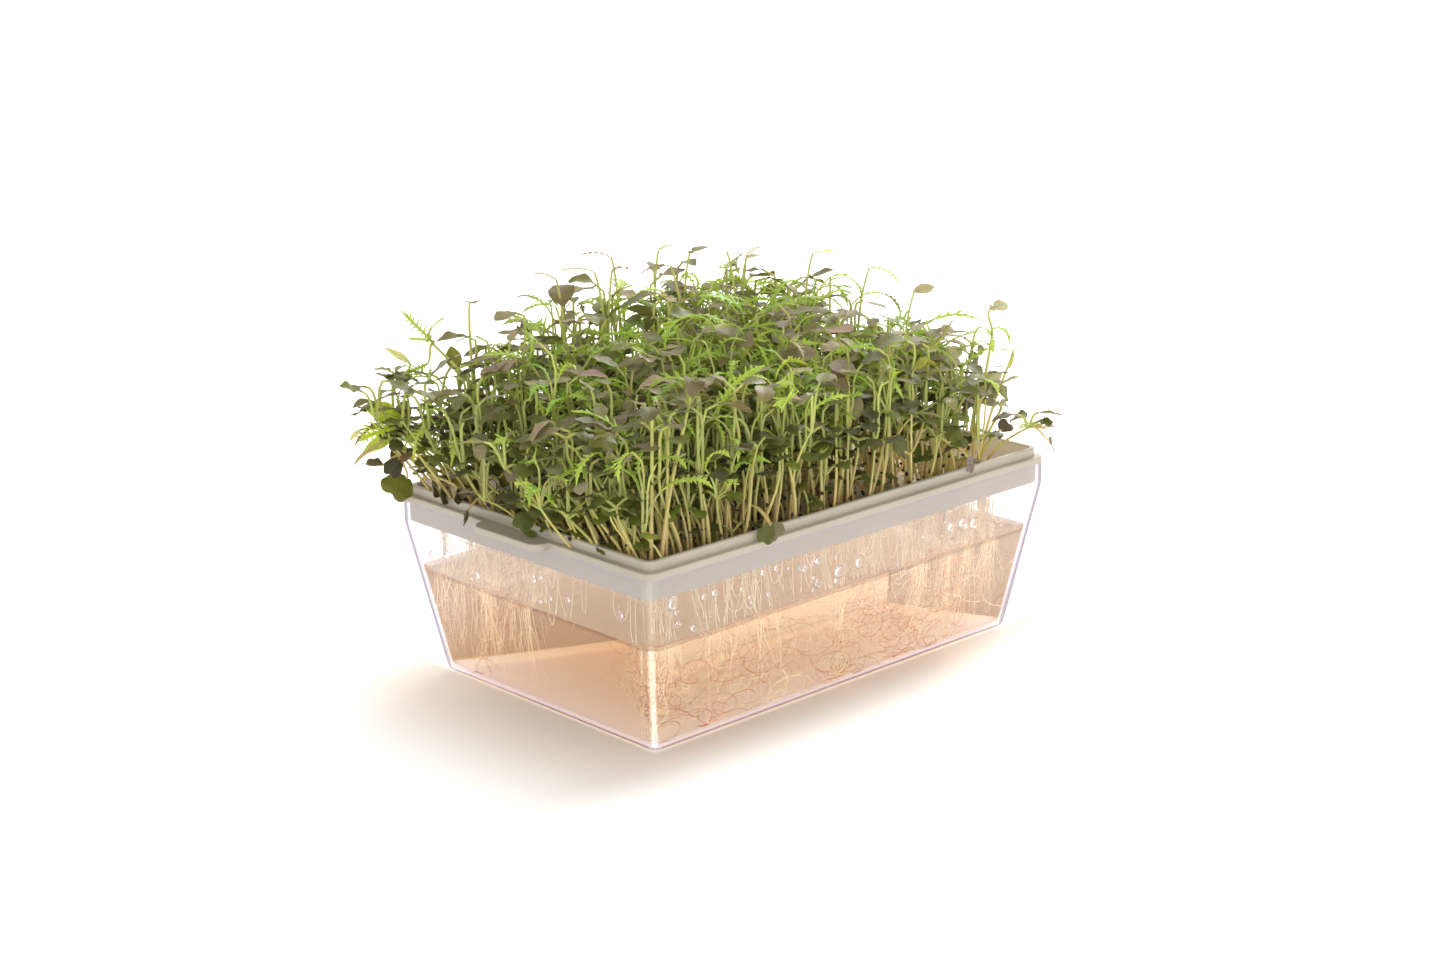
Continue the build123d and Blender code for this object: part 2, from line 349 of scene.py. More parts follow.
def place_leaf(shape, rng, at, forward, up, length, *, width, droop, cup, wave, twist):
    """Bends a leaf shape and sets it at a point, its upper face towards up."""
    points, faces, leaf = shape
    x, y, z = points[:, 0].copy(), points[:, 1] * width, points[:, 2].copy()
    side = np.abs(y)
    z = z + cup * side ** 1.25
    phase = rng.uniform(0, 6.28, 2)
    ripple = np.sin(x * rng.uniform(9, 14) + np.where(y > 0, phase[0], phase[1]))
    z = z + wave * (side / 0.3) ** 1.5 * ripple * 0.12
    y = y + wave * 0.03 * np.sin(x * 7 + phase[1])
    turn = twist * x
    y, z = y * np.cos(turn) - z * np.sin(turn), y * np.sin(turn) + z * np.cos(turn)
    if abs(droop) > 1e-4:       # bends x round an arc of radius 1 / droop
        turn = droop * x
        x, z = (np.sin(turn) / droop + z * np.sin(turn),
                -(1 - np.cos(turn)) / droop + z * np.cos(turn))
    forward = forward / (np.linalg.norm(forward) + TINY)
    up = up - forward * (up @ forward)
    up = up / (np.linalg.norm(up) + TINY)
    across = np.cross(up, forward)
    placed = at + length * (x[:, None] * forward + y[:, None] * across + z[:, None] * up)
    return placed, faces, leaf


# ---------------------------------------------------------------- shader graphs
class Graph:
    """Node tree of a material or world. Any value may be a number, a colour or a socket."""

    def __init__(self, owner, output="OutputMaterial"):
        self.owner = owner
        owner.use_nodes = True
        self.tree = owner.node_tree
        self.tree.nodes.clear()
        self.end = self.node(output)

    def put(self, socket, value):
        if isinstance(value, bpy.types.NodeSocket):
            self.tree.links.new(value, socket)
        elif socket.type == "RGBA":
            socket.default_value = (*value, 1)
        else:
            socket.default_value = value

    def node(self, kind, sockets=None, **settings):
        made = self.tree.nodes.new("ShaderNode" + kind)
        for key, value in settings.items():
            setattr(made, key, value)
        for key, value in (sockets or {}).items():
            self.put(made.inputs[key], value)
        return made

    def out(self, kind, sockets=None, pick=0, **settings):
        """Adds a node and gives one of its outputs."""
        return self.node(kind, sockets, **settings).outputs[pick]

    def finish(self, shader):
        self.put(self.end.inputs["Surface"], shader)
        return self.owner

    def calc(self, operation, first, second=None):
        made = self.node("Math", {0: first}, operation=operation)
        if second is not None:
            self.put(made.inputs[1], second)
        return made.outputs[0]

    def add(self, first, second):
        return self.calc("ADD", first, second)

    def sub(self, first, second):
        return self.calc("SUBTRACT", first, second)

    def mul(self, first, second):
        return self.calc("MULTIPLY", first, second)

    def most(self, first, second):
        return self.calc("MAXIMUM", first, second)

    def least(self, first, second):
        return self.calc("MINIMUM", first, second)

    def above(self, first, second):
        return self.calc("GREATER_THAN", first, second)

    def below(self, first, second):
        return self.calc("LESS_THAN", first, second)

    def size(self, value):
        return self.calc("ABSOLUTE", value)

    def mix(self, share, first, second, blend="MIX"):
        return self.out("Mix", {0: share, 6: first, 7: second}, pick=2,
                        data_type="RGBA", blend_type=blend)

    def times(self, first, second):
        """Product of two colours."""
        return self.mix(1.0, first, second, "MULTIPLY")

    def ramp(self, value, from_min, from_max, to_min=0.0, to_max=1.0, smooth=False):
        sockets = {"Value": value, "From Min": from_min, "From Max": from_max,
                   "To Min": to_min, "To Max": to_max}
        return self.out("MapRange", sockets,
                        interpolation_type="SMOOTHSTEP" if smooth else "LINEAR")

    def split(self, vector):
        """The x, y and z of a vector."""
        return tuple(self.node("SeparateXYZ", {0: vector}).outputs)

    def position(self):
        return self.out("NewGeometry", pick="Position")

    def vertex_colour(self):
        return self.out("Attribute", pick="Color", attribute_name="Col")

    def noise(self, place, scale, detail=2.0, roughness=0.5):
        return self.out("TexNoise", {"Vector": place, "Scale": scale, "Detail": detail,
                                     "Roughness": roughness}, pick="Fac")

    def bump(self, height, strength, distance):
        return self.out("Bump", {"Height": height, "Strength": strength, "Distance": distance},
                        pick="Normal")

    def principled(self, colour, rough, normal, more=None, grain=None, vary=0.0, dip=0.0):
        """Glossy surface. Grain varies its roughness upwards from rough - dip."""
        made = self.node("BsdfPrincipled", {"Base Color": colour, "Roughness": rough,
                                            "Normal": normal, **(more or {})})
        if grain is not None:
            self.put(made.inputs["Roughness"], self.add(self.mul(grain, vary), rough - dip))
        return made

    def blend(self, share, first, second):
        return self.out("MixShader", {0: share, 1: first, 2: second})

    def translucent(self, share, shader, colour):
        """Lets a share of the shader be light that comes through from behind."""
        return self.blend(share, shader, self.out("BsdfTranslucent", {"Color": colour}))

    def first_hit(self, light):
        return self.below(light["Ray Depth"], 0.5)

    def soft_shadow(self, shader, share=0.38):
        """Thin tissue passes a share of the light, so its shadow is only partly dark."""
        light = self.node("LightPath").outputs
        clear = self.out("BsdfTransparent")
        return self.blend(self.mul(light["Is Shadow Ray"], share), shader, clear)


def new_graph(name):
    return Graph(bpy.data.materials.new(name))


def grey(value):
    return (value,) * 3


# ---------------------------------------------------------------- growing materials
def paler_end(graph, place, base):
    """Leaves towards +X turn paler below their tops."""
    x, _, z = graph.split(place)
    end = graph.ramp(x, from_min=10.0 * MM, from_max=85.0 * MM)
    low = graph.ramp(z, from_min=152.0 * MM, from_max=122.0 * MM)
    pale = graph.times(base, (1.15, 1.17, 1.24))
    return graph.mix(graph.mul(end, low), base, pale)


def leaf_veins(graph):
    """The leaf coordinates: how far along the leaf, and how far out from its midline."""
    vector = graph.out("Attribute", pick="Vector", attribute_name="Leaf")
    along, across, _ = graph.split(vector)
    return along, graph.size(across)


def leaf_material(name, *, through, rough, sheen, vein_colour, vein_pairs, lit_tint, lit_gain):
    """Leaf with mottling, veins and a share of light that comes through it."""
    rib_sharpness, vein_sharpness = 34.0, 9.0
    vein_lean, side_vein_strength, vein_share = 0.85, 0.55, 0.55
    graph = new_graph(name)
    colour = graph.vertex_colour()
    along, side = leaf_veins(graph)
    place = graph.position()
    fine = graph.noise(place, scale=420.0, detail=3.0, roughness=0.6)
    blotch = graph.noise(place, scale=95.0)
    rib = graph.sub(1.0, graph.least(graph.mul(side, rib_sharpness), 1.0))
    sweep = graph.mul(graph.sub(along, graph.mul(side, vein_lean)), vein_pairs)
    saw = graph.size(graph.sub(graph.calc("FRACT", sweep), 0.5))
    vein = graph.sub(1.0, graph.least(graph.mul(saw, vein_sharpness), 1.0))
    veins = graph.most(rib, graph.mul(vein, side_vein_strength))
    mottled = graph.times(colour, graph.mix(fine, grey(0.62), (1.36, 1.36, 1.30)))
    yellowed = graph.times(mottled, (1.25, 1.1, 0.7))
    mottled = graph.mix(graph.mul(blotch, 0.35), mottled, yellowed)
    base = paler_end(graph, place, graph.mix(graph.mul(veins, vein_share), mottled, vein_colour))
    relief = graph.add(graph.mul(fine, 0.6), graph.mul(veins, -0.7))
    normal = graph.bump(relief, strength=0.35, distance=0.0003)
    gloss = {"Specular IOR Level": 0.30, "Sheen Weight": sheen, "Sheen Roughness": 0.45,
             "Sheen Tint": linear(216, 206, 186)}
    skin = graph.principled(base, rough, normal, gloss, grain=fine, vary=0.18, dip=0.09)
    lit = graph.times(graph.mix(0.55, base, lit_tint), grey(lit_gain))
    return graph.finish(graph.soft_shadow(graph.translucent(through, skin.outputs[0], lit)))


def stem_material():
    graph = new_graph("stem")
    colour = graph.vertex_colour()
    stretched = graph.out("Mapping", {"Vector": graph.position(), "Scale": (900, 900, 90)})
    streak = graph.noise(stretched, scale=1.0, detail=3.0)
    base = graph.times(colour, graph.mix(streak, (0.72, 0.72, 0.68), (1.25, 1.25, 1.2)))
    normal = graph.bump(streak, strength=0.25, distance=0.0002)
    skin = graph.principled(base, 0.42, normal)
    lit = graph.times(base, (1.15, 1.15, 0.95))
    return graph.finish(graph.soft_shadow(graph.translucent(0.42, skin.outputs[0], lit)))


def grain_material(name, *, rough, scale, relief, spread, through=0.0, painted_glow=0.0):
    """Seed, hulls and roots: vertex colour broken up by noise. A painted glow, emission that
    stands in for light on the roots, fades above the solution and towards +X."""
    graph = new_graph(name)
    colour = graph.vertex_colour()
    place = graph.position()
    fine = graph.noise(place, scale=scale, detail=4.0, roughness=0.65)
    base = graph.times(colour, graph.mix(fine, grey(1 - spread), grey(1 + spread)))
    normal = graph.bump(fine, strength=0.5, distance=relief)
    skin = graph.principled(base, rough, normal, grain=fine, vary=0.25, dip=0.12)
    # painted light: emission in the grain's own colour, less above the solution and towards +X
    if painted_glow:
        x, _, z = graph.split(place)
        fade = graph.ramp(z, from_min=(LEVEL - 2.0) * MM, from_max=(LEVEL + 3.0) * MM,
                          to_min=painted_glow, to_max=painted_glow * 0.12)
        end = graph.ramp(x, from_min=35.0 * MM, from_max=95.0 * MM, to_min=1.0, to_max=0.80)
        graph.put(skin.inputs["Emission Color"], base)
        graph.put(skin.inputs["Emission Strength"], graph.mul(fade, end))
    shader = skin.outputs[0]
    if through:
        shader = graph.translucent(through, shader, base)
    return graph.finish(shader)


# ---------------------------------------------------------------- clear materials
def glass_node(graph, ior, tint):
    return graph.node("BsdfGlass", {"IOR": ior, "Roughness": 0.0, "Color": tint})


def clear_body(graph, glass, shadow_tint):
    """Glass that bends light only where it counts.

    Rays with many bounces, shadow rays and diffuse rays pass straight through. So does
    light already inside the base plate. Returns the shader, the light path outputs, the
    geometry outputs and the x, y and z of the place.
    """
    deepest, plate_top = 10.0, 4.2 * MM
    light = graph.node("LightPath").outputs
    straight = graph.most(graph.above(light["Ray Depth"], deepest),
                          graph.most(light["Is Shadow Ray"], light["Is Diffuse Ray"]))
    geometry = graph.node("NewGeometry").outputs
    place = graph.split(geometry["Position"])
    plate = graph.mul(graph.below(place[2], plate_top), graph.above(light["Ray Depth"], 0.5))
    clear = graph.out("BsdfTransparent", {"Color": shadow_tint})
    shader = graph.blend(graph.most(straight, plate), glass.outputs[0], clear)
    return shader, light, geometry, place


def absorb(graph, colour, density):
    """Colour that deepens with the distance travelled inside."""
    volume = graph.out("VolumeAbsorption", {"Density": density, "Color": colour})
    graph.put(graph.end.inputs["Volume"], volume)


def tub_strip(graph, geometry, place, facing):
    """Narrow strip of flat wall beside each upright corner, where it is seen edge on."""
    wall_x, wall_y = 120.0 * MM, 81.0 * MM      # outer wall above the slope
    x, y, z = place
    rise = graph.calc("DIVIDE", z, KNEE * MM)
    drawn_in = graph.mul(graph.most(graph.sub(1.0, rise), 0.0), INSET * MM)
    gap_x = graph.sub(graph.sub(wall_x, graph.size(x)), drawn_in)
    gap_y = graph.sub(graph.sub(wall_y, graph.size(y)), drawn_in)
    strip = graph.ramp(graph.most(gap_x, gap_y), from_min=5.4 * MM, from_max=6.8 * MM,
                       to_min=1.0, to_max=0.0, smooth=True)
    turned = graph.ramp(facing, from_min=0.22, from_max=0.29)
    toward_x, toward_y, _ = graph.split(geometry["Incoming"])
    along_x = graph.mul(graph.calc("SIGN", x, 0.0), toward_x)
    along_y = graph.mul(graph.calc("SIGN", y, 0.0), toward_y)
    sidelong = graph.below(graph.size(graph.add(along_x, along_y)), 0.7)
    return graph.mul(graph.mul(strip, turned), sidelong)


def tub_material():
    """Clear plastic tinted at its edges, with painted glow at its corners, edges and lip and painted
    shadow at its foot.
    """
    # the last tint is a painted shadow, for the contact shadow along the base
    plain, edge_tint, painted_foot_shadow = (0.980, 0.975, 0.972), (0.86, 0.81, 0.94), (0.76, 0.66, 0.58)
    foot_top, lip_low = 1.3 * MM, (RIM - 0.6) * MM
    dry_painted_glow, wet_painted_glow = 0.10, 0.40     # painted glow on the corners, and what the solution adds to it
    lip_share, tint_share = 0.75, 0.92
    graph = new_graph("clear_tub")
    glass = glass_node(graph, 1.49, plain)
    facing = graph.out("LayerWeight", {"Blend": 0.5}, pick="Facing")
    seen = graph.node("LightPath").outputs
    edge = graph.mul(graph.calc("POWER", facing, 2.0), graph.first_hit(seen))
    height = graph.split(graph.position())[2]
    # painted shadow: first hits below foot_top take the brown foot tint
    foot = graph.mul(graph.below(height, foot_top), graph.first_hit(seen))
    tint = graph.mix(foot, graph.mix(edge, plain, edge_tint), painted_foot_shadow)
    graph.put(glass.inputs["Color"], tint)
    wobble = graph.noise(graph.position(), scale=30.0)
    graph.put(glass.inputs["Normal"], graph.bump(wobble, strength=0.003, distance=0.0006))
    shader, light, geometry, place = clear_body(graph, glass, grey(0.94))
    z = place[2]

    # painted highlight: an emission makes the rounded upright corners glow, most of all beside the
    # solution
    normal_x, normal_y, _ = graph.split(geometry["Normal"])
    diagonal = graph.size(graph.mul(normal_x, normal_y))
    corner = graph.ramp(diagonal, from_min=0.36, from_max=0.48, smooth=True)
    wet = graph.add(graph.mul(graph.below(z, LEVEL * MM), wet_painted_glow), dry_painted_glow)
    first = graph.first_hit(light)
    painted_glow = graph.out("Emission", {"Color": (1.0, 0.97, 0.94),
                                  "Strength": graph.mul(first, graph.mul(corner, wet))})
    shader = graph.out("AddShader", {0: shader, 1: painted_glow})

    # seen edge on, the corners, the strips beside them and the lip get an emission in the plastic's
    # colour: its tint is the plastic's own, its brightness is painted light
    facing = graph.out("LayerWeight", {"Blend": 0.5}, pick="Facing")
    edge_on = graph.ramp(facing, from_min=0.36, from_max=0.46, smooth=True)
    rounded = graph.ramp(diagonal, from_min=0.02, from_max=0.12)
    strip = tub_strip(graph, geometry, place, facing)
    share = graph.most(graph.mul(edge_on, rounded), strip)
    share = graph.most(share, graph.mul(graph.above(z, lip_low), lip_share))
    plastic = graph.out("Emission", {"Color": linear(206, 192, 206), "Strength": 1.0})
    shader = graph.blend(graph.mul(graph.mul(first, share), tint_share), shader, plastic)
    absorb(graph, (0.62, 0.53, 0.76), density=30.0)
    return graph.finish(shader)


def solution_material():
    """Solution that takes most of its colour where light enters, the rest with distance, with a painted
    dark line at the water's edge.
    """
    plain = grey(1.0)
    # the last entry tint is a painted shade, for the dark line at the water's edge
    enter_side, enter_top, painted_waterline_shade = (0.90, 0.825, 0.745), (0.68, 0.61, 0.54), (0.66, 0.56, 0.47)
    leave_top, leave_base = (0.775, 0.73, 0.675), (0.97, 0.925, 0.87)
    flat_limit = 0.9        # upward part of the normal that counts as level
    graph = new_graph("solution")
    glass = glass_node(graph, 1.333, plain)
    geometry = graph.node("NewGeometry").outputs
    normal_z = graph.split(geometry["Normal"])[2]
    flat = graph.above(normal_z, flat_limit)
    entry = graph.mix(flat, enter_side, enter_top)
    height = graph.split(geometry["Position"])[2]
    # painted shade: the non-level surface from 1 mm below the level upward takes that darker tint
    line = graph.mul(graph.above(height, (LEVEL - 1.0) * MM), graph.sub(1.0, flat))
    entry = graph.mix(line, entry, painted_waterline_shade)
    leaving = graph.mix(flat, plain, leave_top)
    leaving = graph.mix(graph.below(normal_z, -flat_limit), leaving, leave_base)
    graph.put(glass.inputs["Color"], graph.mix(geometry["Backfacing"], entry, leaving))
    shader = clear_body(graph, glass, shadow_tint=(0.97, 0.96, 0.95))[0]
    absorb(graph, (0.75, 0.49, 0.03), density=6.6)
    return graph.finish(shader)


def droplet_material():
    graph = new_graph("droplet")
    return graph.finish(clear_body(graph, glass_node(graph, 1.333, grey(1.0)), grey(1.0))[0])


def tray_material():
    """Satin moulded plastic with slow colour drift. It passes more light on the inward
    faces of the +X end."""
    colour, rough = linear(198, 190, 173), 0.42
    through, through_more = 0.32, 0.62
    graph = new_graph("tray")
    geometry = graph.node("NewGeometry").outputs
    drift = graph.noise(geometry["Position"], scale=22.0)
    fine = graph.noise(geometry["Position"], scale=1400.0, detail=3.0)
    base = graph.mix(drift, colour * (1 - 0.10), colour * (1 + 0.10))
    normal = graph.bump(fine, strength=0.12, distance=0.00015)
    skin = graph.principled(base, rough, normal, {"Coat Weight": 0.15, "Coat Roughness": 0.25},
                            grain=drift, vary=0.16, dip=0.08)
    x = graph.split(geometry["Position"])[0]
    normal_x = graph.split(geometry["Normal"])[0]
    inward = graph.mul(graph.below(normal_x, -0.5), graph.above(x, 95.0 * MM))
    share = graph.add(graph.mul(inward, through_more), through)
    return graph.finish(graph.translucent(share, skin.outputs[0], base))


LEAF_MATERIAL = {
    "mustard": leaf_material("mustard_leaf", through=0.34, rough=0.42, sheen=0.10,
                             vein_colour=linear(120, 128, 60), vein_pairs=3.2,
                             lit_tint=linear(168, 162, 44), lit_gain=1.0),
    "kale": leaf_material("kale_leaf", through=0.34, rough=0.56, sheen=0.26,
                          vein_colour=linear(140, 136, 112), vein_pairs=5.0,
                          lit_tint=linear(160, 154, 56), lit_gain=1.0),
    "mizuna": leaf_material("mizuna_leaf", through=0.42, rough=0.40, sheen=0.05,
                            vein_colour=linear(186, 205, 96), vein_pairs=6.0,
                            lit_tint=linear(196, 208, 100), lit_gain=1.12),
}
STEM_MATERIAL = stem_material()
HULL_MATERIAL = grain_material("seed_hull", rough=0.45, scale=900.0, relief=0.0003, spread=0.5)
SEED_MATERIAL = grain_material("seed", rough=0.6, scale=600.0, relief=0.0004, spread=0.22,
                               through=0.15)
# the roots carry a painted glow: emission stands in for light reaching them in the solution
ROOT_MATERIAL = grain_material("root", rough=0.5, scale=700.0, relief=0.0002, spread=0.10,
                               through=0.45, painted_glow=0.47)
TUB_MATERIAL = tub_material()
SOLUTION_MATERIAL = solution_material()
DROPLET_MATERIAL = droplet_material()
TRAY_MATERIAL = tray_material()

for piece, material in (("reservoir_tub", TUB_MATERIAL), ("grow_tray", TRAY_MATERIAL)):
    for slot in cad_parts[piece].material_slots:
        slot.material = material


# ---------------------------------------------------------------- nutrient solution
def round_rect(half_x, half_y, radius, z):
    """Ring of points round a rectangle with rounded corners."""
    steps = 10
    x, y = half_x - radius, half_y - radius
    points = []
    for centre_x, centre_y, start in ((x, y, 0.0), (-x, y, 90.0), (-x, -y, 180.0), (x, -y, 270.0)):
        for i in range(steps + 1):
            angle = math.radians(start + 90.0 * i / steps)
            points.append((centre_x + radius * math.cos(angle),
                           centre_y + radius * math.sin(angle), z))
    return np.array(points)


def build_liquid():
    gap = 0.06          # clearance from the tub
    corner = 5.5        # radius of the upright corners
    foot = 2.0          # radius of the round at the base
    climb = 1.5         # rise of the surface at the wall
    # distance in from the wall, height above the level
    meniscus = ((0.25, 1.05), (0.6, 0.68), (1.1, 0.36), (1.8, 0.14), (2.8, 0.03), (4.2, 0.0))
    base = FLOOR + gap
    rings = []
    for share in (0.0, 0.15, 0.35, 0.6, 1.0):
        angle = share * math.pi / 2
        z = base + foot * (1 - math.cos(angle))
        off = foot * (1 - math.sin(angle))
        half_x, half_y = inner_half(z)
        rings.append(round_rect(half_x - gap - off, half_y - gap - off,
                                max(corner - off * 0.6, 0.9), z))
    for z in np.linspace(base + 4.0, LEVEL + climb, 7):
        half_x, half_y = inner_half(z)
        rings.append(round_rect(half_x - gap, half_y - gap, corner, z))
    half_x, half_y = inner_half(LEVEL)
    for off, rise in meniscus:
        rings.append(round_rect(half_x - gap - off, half_y - gap - off,
                                corner + off * 0.4, LEVEL + rise))
    liquid = Triangles()
    faces = ring_faces(len(rings), len(rings[0]))
    liquid.add(np.concatenate(rings), faces, 0, grey(1))
    made = liquid.build("nutrient_liquid", [SOLUTION_MATERIAL], sharp=38)
    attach(made, "reservoir")
    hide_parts("nutrient_solution")


def build_droplets():
    """Beads of water on the inside of the walls, between the solution and the tray."""
    rng = np.random.default_rng(77)
    sides, rings = 10, 7
    flat = 0.42         # height of a bead over its radius
    end = 0.12          # polar angle of the first and last ring
    slope = math.atan(INSET / KNEE)
    beads = Triangles()
    for _ in range(230):
        wall = rng.choice(4, p=(0.33, 0.17, 0.33, 0.17))     # -Y, -X, +Y, +X
        z = LEVEL + 3.0 + (UNDER - LEVEL - 5.0) * rng.uniform() ** 1.2
        half_x, half_y = inner_half(z)
        inward = 1.0 if wall < 2 else -1.0
        if wall in (0, 2):
            x, y = rng.uniform(-half_x + 4, half_x - 4), -half_y * inward
            normal = np.array([0, inward, 0])
        else:
            x, y = -half_x * inward, rng.uniform(-half_y + 4, half_y - 4)
            normal = np.array([inward, 0, 0])
        normal = normal * math.cos(slope) + np.array([0, 0, math.sin(slope)])
        radius = 0.35 + 2.3 * rng.uniform() ** 4
        tall = rng.uniform(0.9, 1.5)
        centre = np.array([x, y, z]) + normal * (radius * flat + 0.05)
        level = np.cross(UP, normal)
        level /= np.linalg.norm(level)
        upward = np.cross(normal, level)
        points = []
        for polar in np.linspace(end, math.pi - end, rings):
            for angle in np.arange(sides) * 2 * math.pi / sides:
                spoke = level * math.cos(angle) + upward * math.sin(angle) * tall
                points.append(centre + normal * (math.cos(polar) * radius * flat)
                              + spoke * math.sin(polar) * radius)
        beads.add(np.array(points), ring_faces(rings, sides)[:, ::-1], 0, grey(1))
    made = beads.build("wall_droplets", [DROPLET_MATERIAL])
    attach(made, "reservoir")


# ---------------------------------------------------------------- seed layer
def build_seed_layer():
    """Lumpy cream bed of sprouted seed on the tray floor."""
    rng = np.random.default_rng(5)
    count_x, count_y, lumps = 110, 72, 1500
    base = UNDER + 1.6 + 0.02       # bottom of the bed, just clear of the tray
    rim = base + 0.5                # height of the bed's outer edge
    grid_x, grid_y = np.meshgrid(np.linspace(-BED_X, BED_X, count_x),
                                 np.linspace(-BED_Y, BED_Y, count_y), indexing="ij")
    lump = np.zeros_like(grid_x)
    for _ in range(lumps):
        x, y = rng.uniform(-BED_X, BED_X), rng.uniform(-BED_Y, BED_Y)
        radius = rng.uniform(1.4, 2.6)
        away = ((grid_x - x) ** 2 + (grid_y - y) ** 2) / radius ** 2
        lump = np.maximum(lump, np.exp(-away) * rng.uniform(0.5, 1.0))
    z = SEED_TOP - 1.1 + 1.3 * lump
    z[0, :] = z[-1, :] = rim
    z[:, 0] = z[:, -1] = rim
    top = np.stack([grid_x, grid_y, z], -1).reshape(-1, 3)
    bottom = np.stack([grid_x, grid_y, np.full_like(grid_x, base)], -1).reshape(-1, 3)
    count = count_x * count_y
    index = np.arange(count).reshape(count_x, count_y)
    near, right = index[:-1, :-1].ravel(), index[1:, :-1].ravel()
    far, left = index[1:, 1:].ravel(), index[:-1, 1:].ravel()
    loop = np.concatenate([index[:, 0], index[-1, 1:], index[-2::-1, -1], index[0, -2:0:-1]])
    after = np.roll(loop, -1)
    faces = [(near, right, far), (near, far, left),
             (near + count, far + count, right + count),
             (near + count, left + count, far + count),
             (loop, loop + count, after + count), (loop, after + count, after)]
    dull, bright = linear(236, 220, 178), linear(250, 238, 204)
    shade = rng.uniform(0, 1, count)[:, None]
    cream = dull * (0.78 + 0.3 * shade) + (bright - dull) * lump.reshape(-1)[:, None]
    cream = np.minimum(cream, 0.95)
    bed = Triangles()
    bed.add(np.concatenate([top, bottom]), np.concatenate([np.stack(face, 1) for face in faces]),
            0, np.concatenate([cream, cream * 0.7]))
    made = bed.build("seed_layer", [SEED_MATERIAL], sharp=60)
    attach(made, "tray")
    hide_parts("seed_bed")


build_liquid()
build_droplets()
build_seed_layer()


def hull_bead(centre, half_axes, rotation):
    """Closed egg shape."""
    sides, rings, end = 6, 4, 0.28
    long, wide, thick = half_axes
    points = []
    for polar in np.linspace(end, math.pi - end, rings):
        for angle in np.arange(sides) * 2 * math.pi / sides:
            points.append((math.cos(polar) * long,
                           math.sin(polar) * math.cos(angle) * wide,
                           math.sin(polar) * math.sin(angle) * thick))
    return centre + np.array(points) @ rotation.T, ring_faces(rings, sides)[:, ::-1]


def random_rotation(rng):
    quaternion = rng.normal(size=4)
    quaternion /= np.linalg.norm(quaternion)
    turn, x, y, z = quaternion
    return np.array([
        [1 - 2 * (y * y + z * z), 2 * (x * y - z * turn), 2 * (x * z + y * turn)],
        [2 * (x * y + z * turn), 1 - 2 * (x * x + z * z), 2 * (y * z - x * turn)],
        [2 * (x * z - y * turn), 2 * (y * z + x * turn), 1 - 2 * (x * x + y * y)]])


# ---------------------------------------------------------------- seedling parts
KINDS = ("mustard", "kale", "mizuna")
BLADE, STEM = 0, 1                      # material slots of the plants
GROUP_ROWS, GROUP_HALF_Y = 8, 72.0      # each kind is split into rows of objects along Y
groups = {(kind, row): Triangles() for row in range(GROUP_ROWS) for kind in KINDS}
hulls = Triangles()

STEM_LOW = linear(228, 203, 157)
STEM_MID = linear(216, 202, 140)
STEM_HIGH = linear(194, 198, 120)
STEM_PINK = linear(190, 160, 140)


def group(kind, y):
    depth = 2 * GROUP_HALF_Y / GROUP_ROWS
    return groups[(kind, int(np.clip((y + GROUP_HALF_Y) / depth, 0, GROUP_ROWS - 1)))]


def stem_colour(z, low, high, pink, gain):
    share = np.clip((z - low) / max(high - low, 1.0), 0, 1)[:, None]
    foot = STEM_LOW * (1 - pink) + STEM_PINK * pink
    lower = foot + (STEM_MID - foot) * (share / 0.45)
    upper = STEM_MID + (STEM_HIGH - STEM_MID) * ((share - 0.45) / 0.55)
    return np.where(share < 0.45, lower, upper) * gain


def direction(azimuth, elevation):
    return np.array([math.cos(azimuth) * math.cos(elevation),
                     math.sin(azimuth) * math.cos(elevation), math.sin(elevation)])


def add_stalk(plants, start, leave, end, arrive, radii, colour, count, sides):
    """Leaf stalk that leaves and arrives along the given directions."""
    pull = np.linalg.norm(end - start)
    path = bezier(start, start + leave * pull * 0.38, end - arrive * pull * 0.38, end, count)
    points, faces = tube(path, np.linspace(*radii, count), sides)
    plants.add(points, faces, STEM, colour)


def vary(base, rng, spread):
    """Colour varied in brightness, and a little in hue."""
    brightness = np.exp(rng.normal(0, spread))
    return np.clip(base * brightness * np.exp(rng.normal(0, spread * 0.35, 3)), 0.0, 1.0)


def leaf_colours(leaf, top, under, stalk=None, stalk_mix=0.0):
    colour = np.where(leaf[:, 2:3] > 0, top, under)
    if stalk is not None:
        share = np.clip(1 - leaf[:, 0:1] / 0.35, 0, 1) * stalk_mix
        colour = colour * (1 - share) + stalk * share
    return colour * np.array([1.20, 1.13, 1.02])


def add_seed_leaves(plants, rng, node, azimuth, elevation, size, gain, green):
    """Pair of seed leaves on short stalks. Green runs from dull 0 to fresh 1."""
    top = linear(74, 78, 46) * (1 - green) + linear(112, 124, 52) * green
    top = vary(top, rng, 0.16) * gain
    under = linear(92, 84, 78) * (1 - green) + linear(120, 132, 70) * green
    under = vary(under, rng, 0.14)
    for k in (0, 1):
        turn = azimuth + math.pi * k + rng.normal(0, 0.22)
        tilt = elevation + rng.normal(0, 0.16)
        forward = direction(turn, tilt)
        leave = direction(turn, tilt + 0.45)
        end = node + leave * (4.5 * rng.uniform(0.8, 1.3))
        add_stalk(plants, node - UP * 0.3, leave, end + forward * 0.5, forward,
                  radii=(0.62, 0.5), colour=STEM_HIGH * 0.9, count=4, sides=4)
        length = size * rng.uniform(0.86, 1.12)
        points, faces, leaf = place_leaf(
            HEARTS[rng.integers(len(HEARTS))], rng, end, forward, UP + rng.normal(0, 0.18, 3),
            length, width=1.0, droop=rng.uniform(0.2, 0.9), cup=rng.uniform(-0.25, 0.35),
            wave=0.25, twist=rng.normal(0, 0.25))
        colour = leaf_colours(leaf, top, under, linear(128, 138, 66), stalk_mix=0.55)
        plants.add(points, faces, BLADE, colour, leaf)


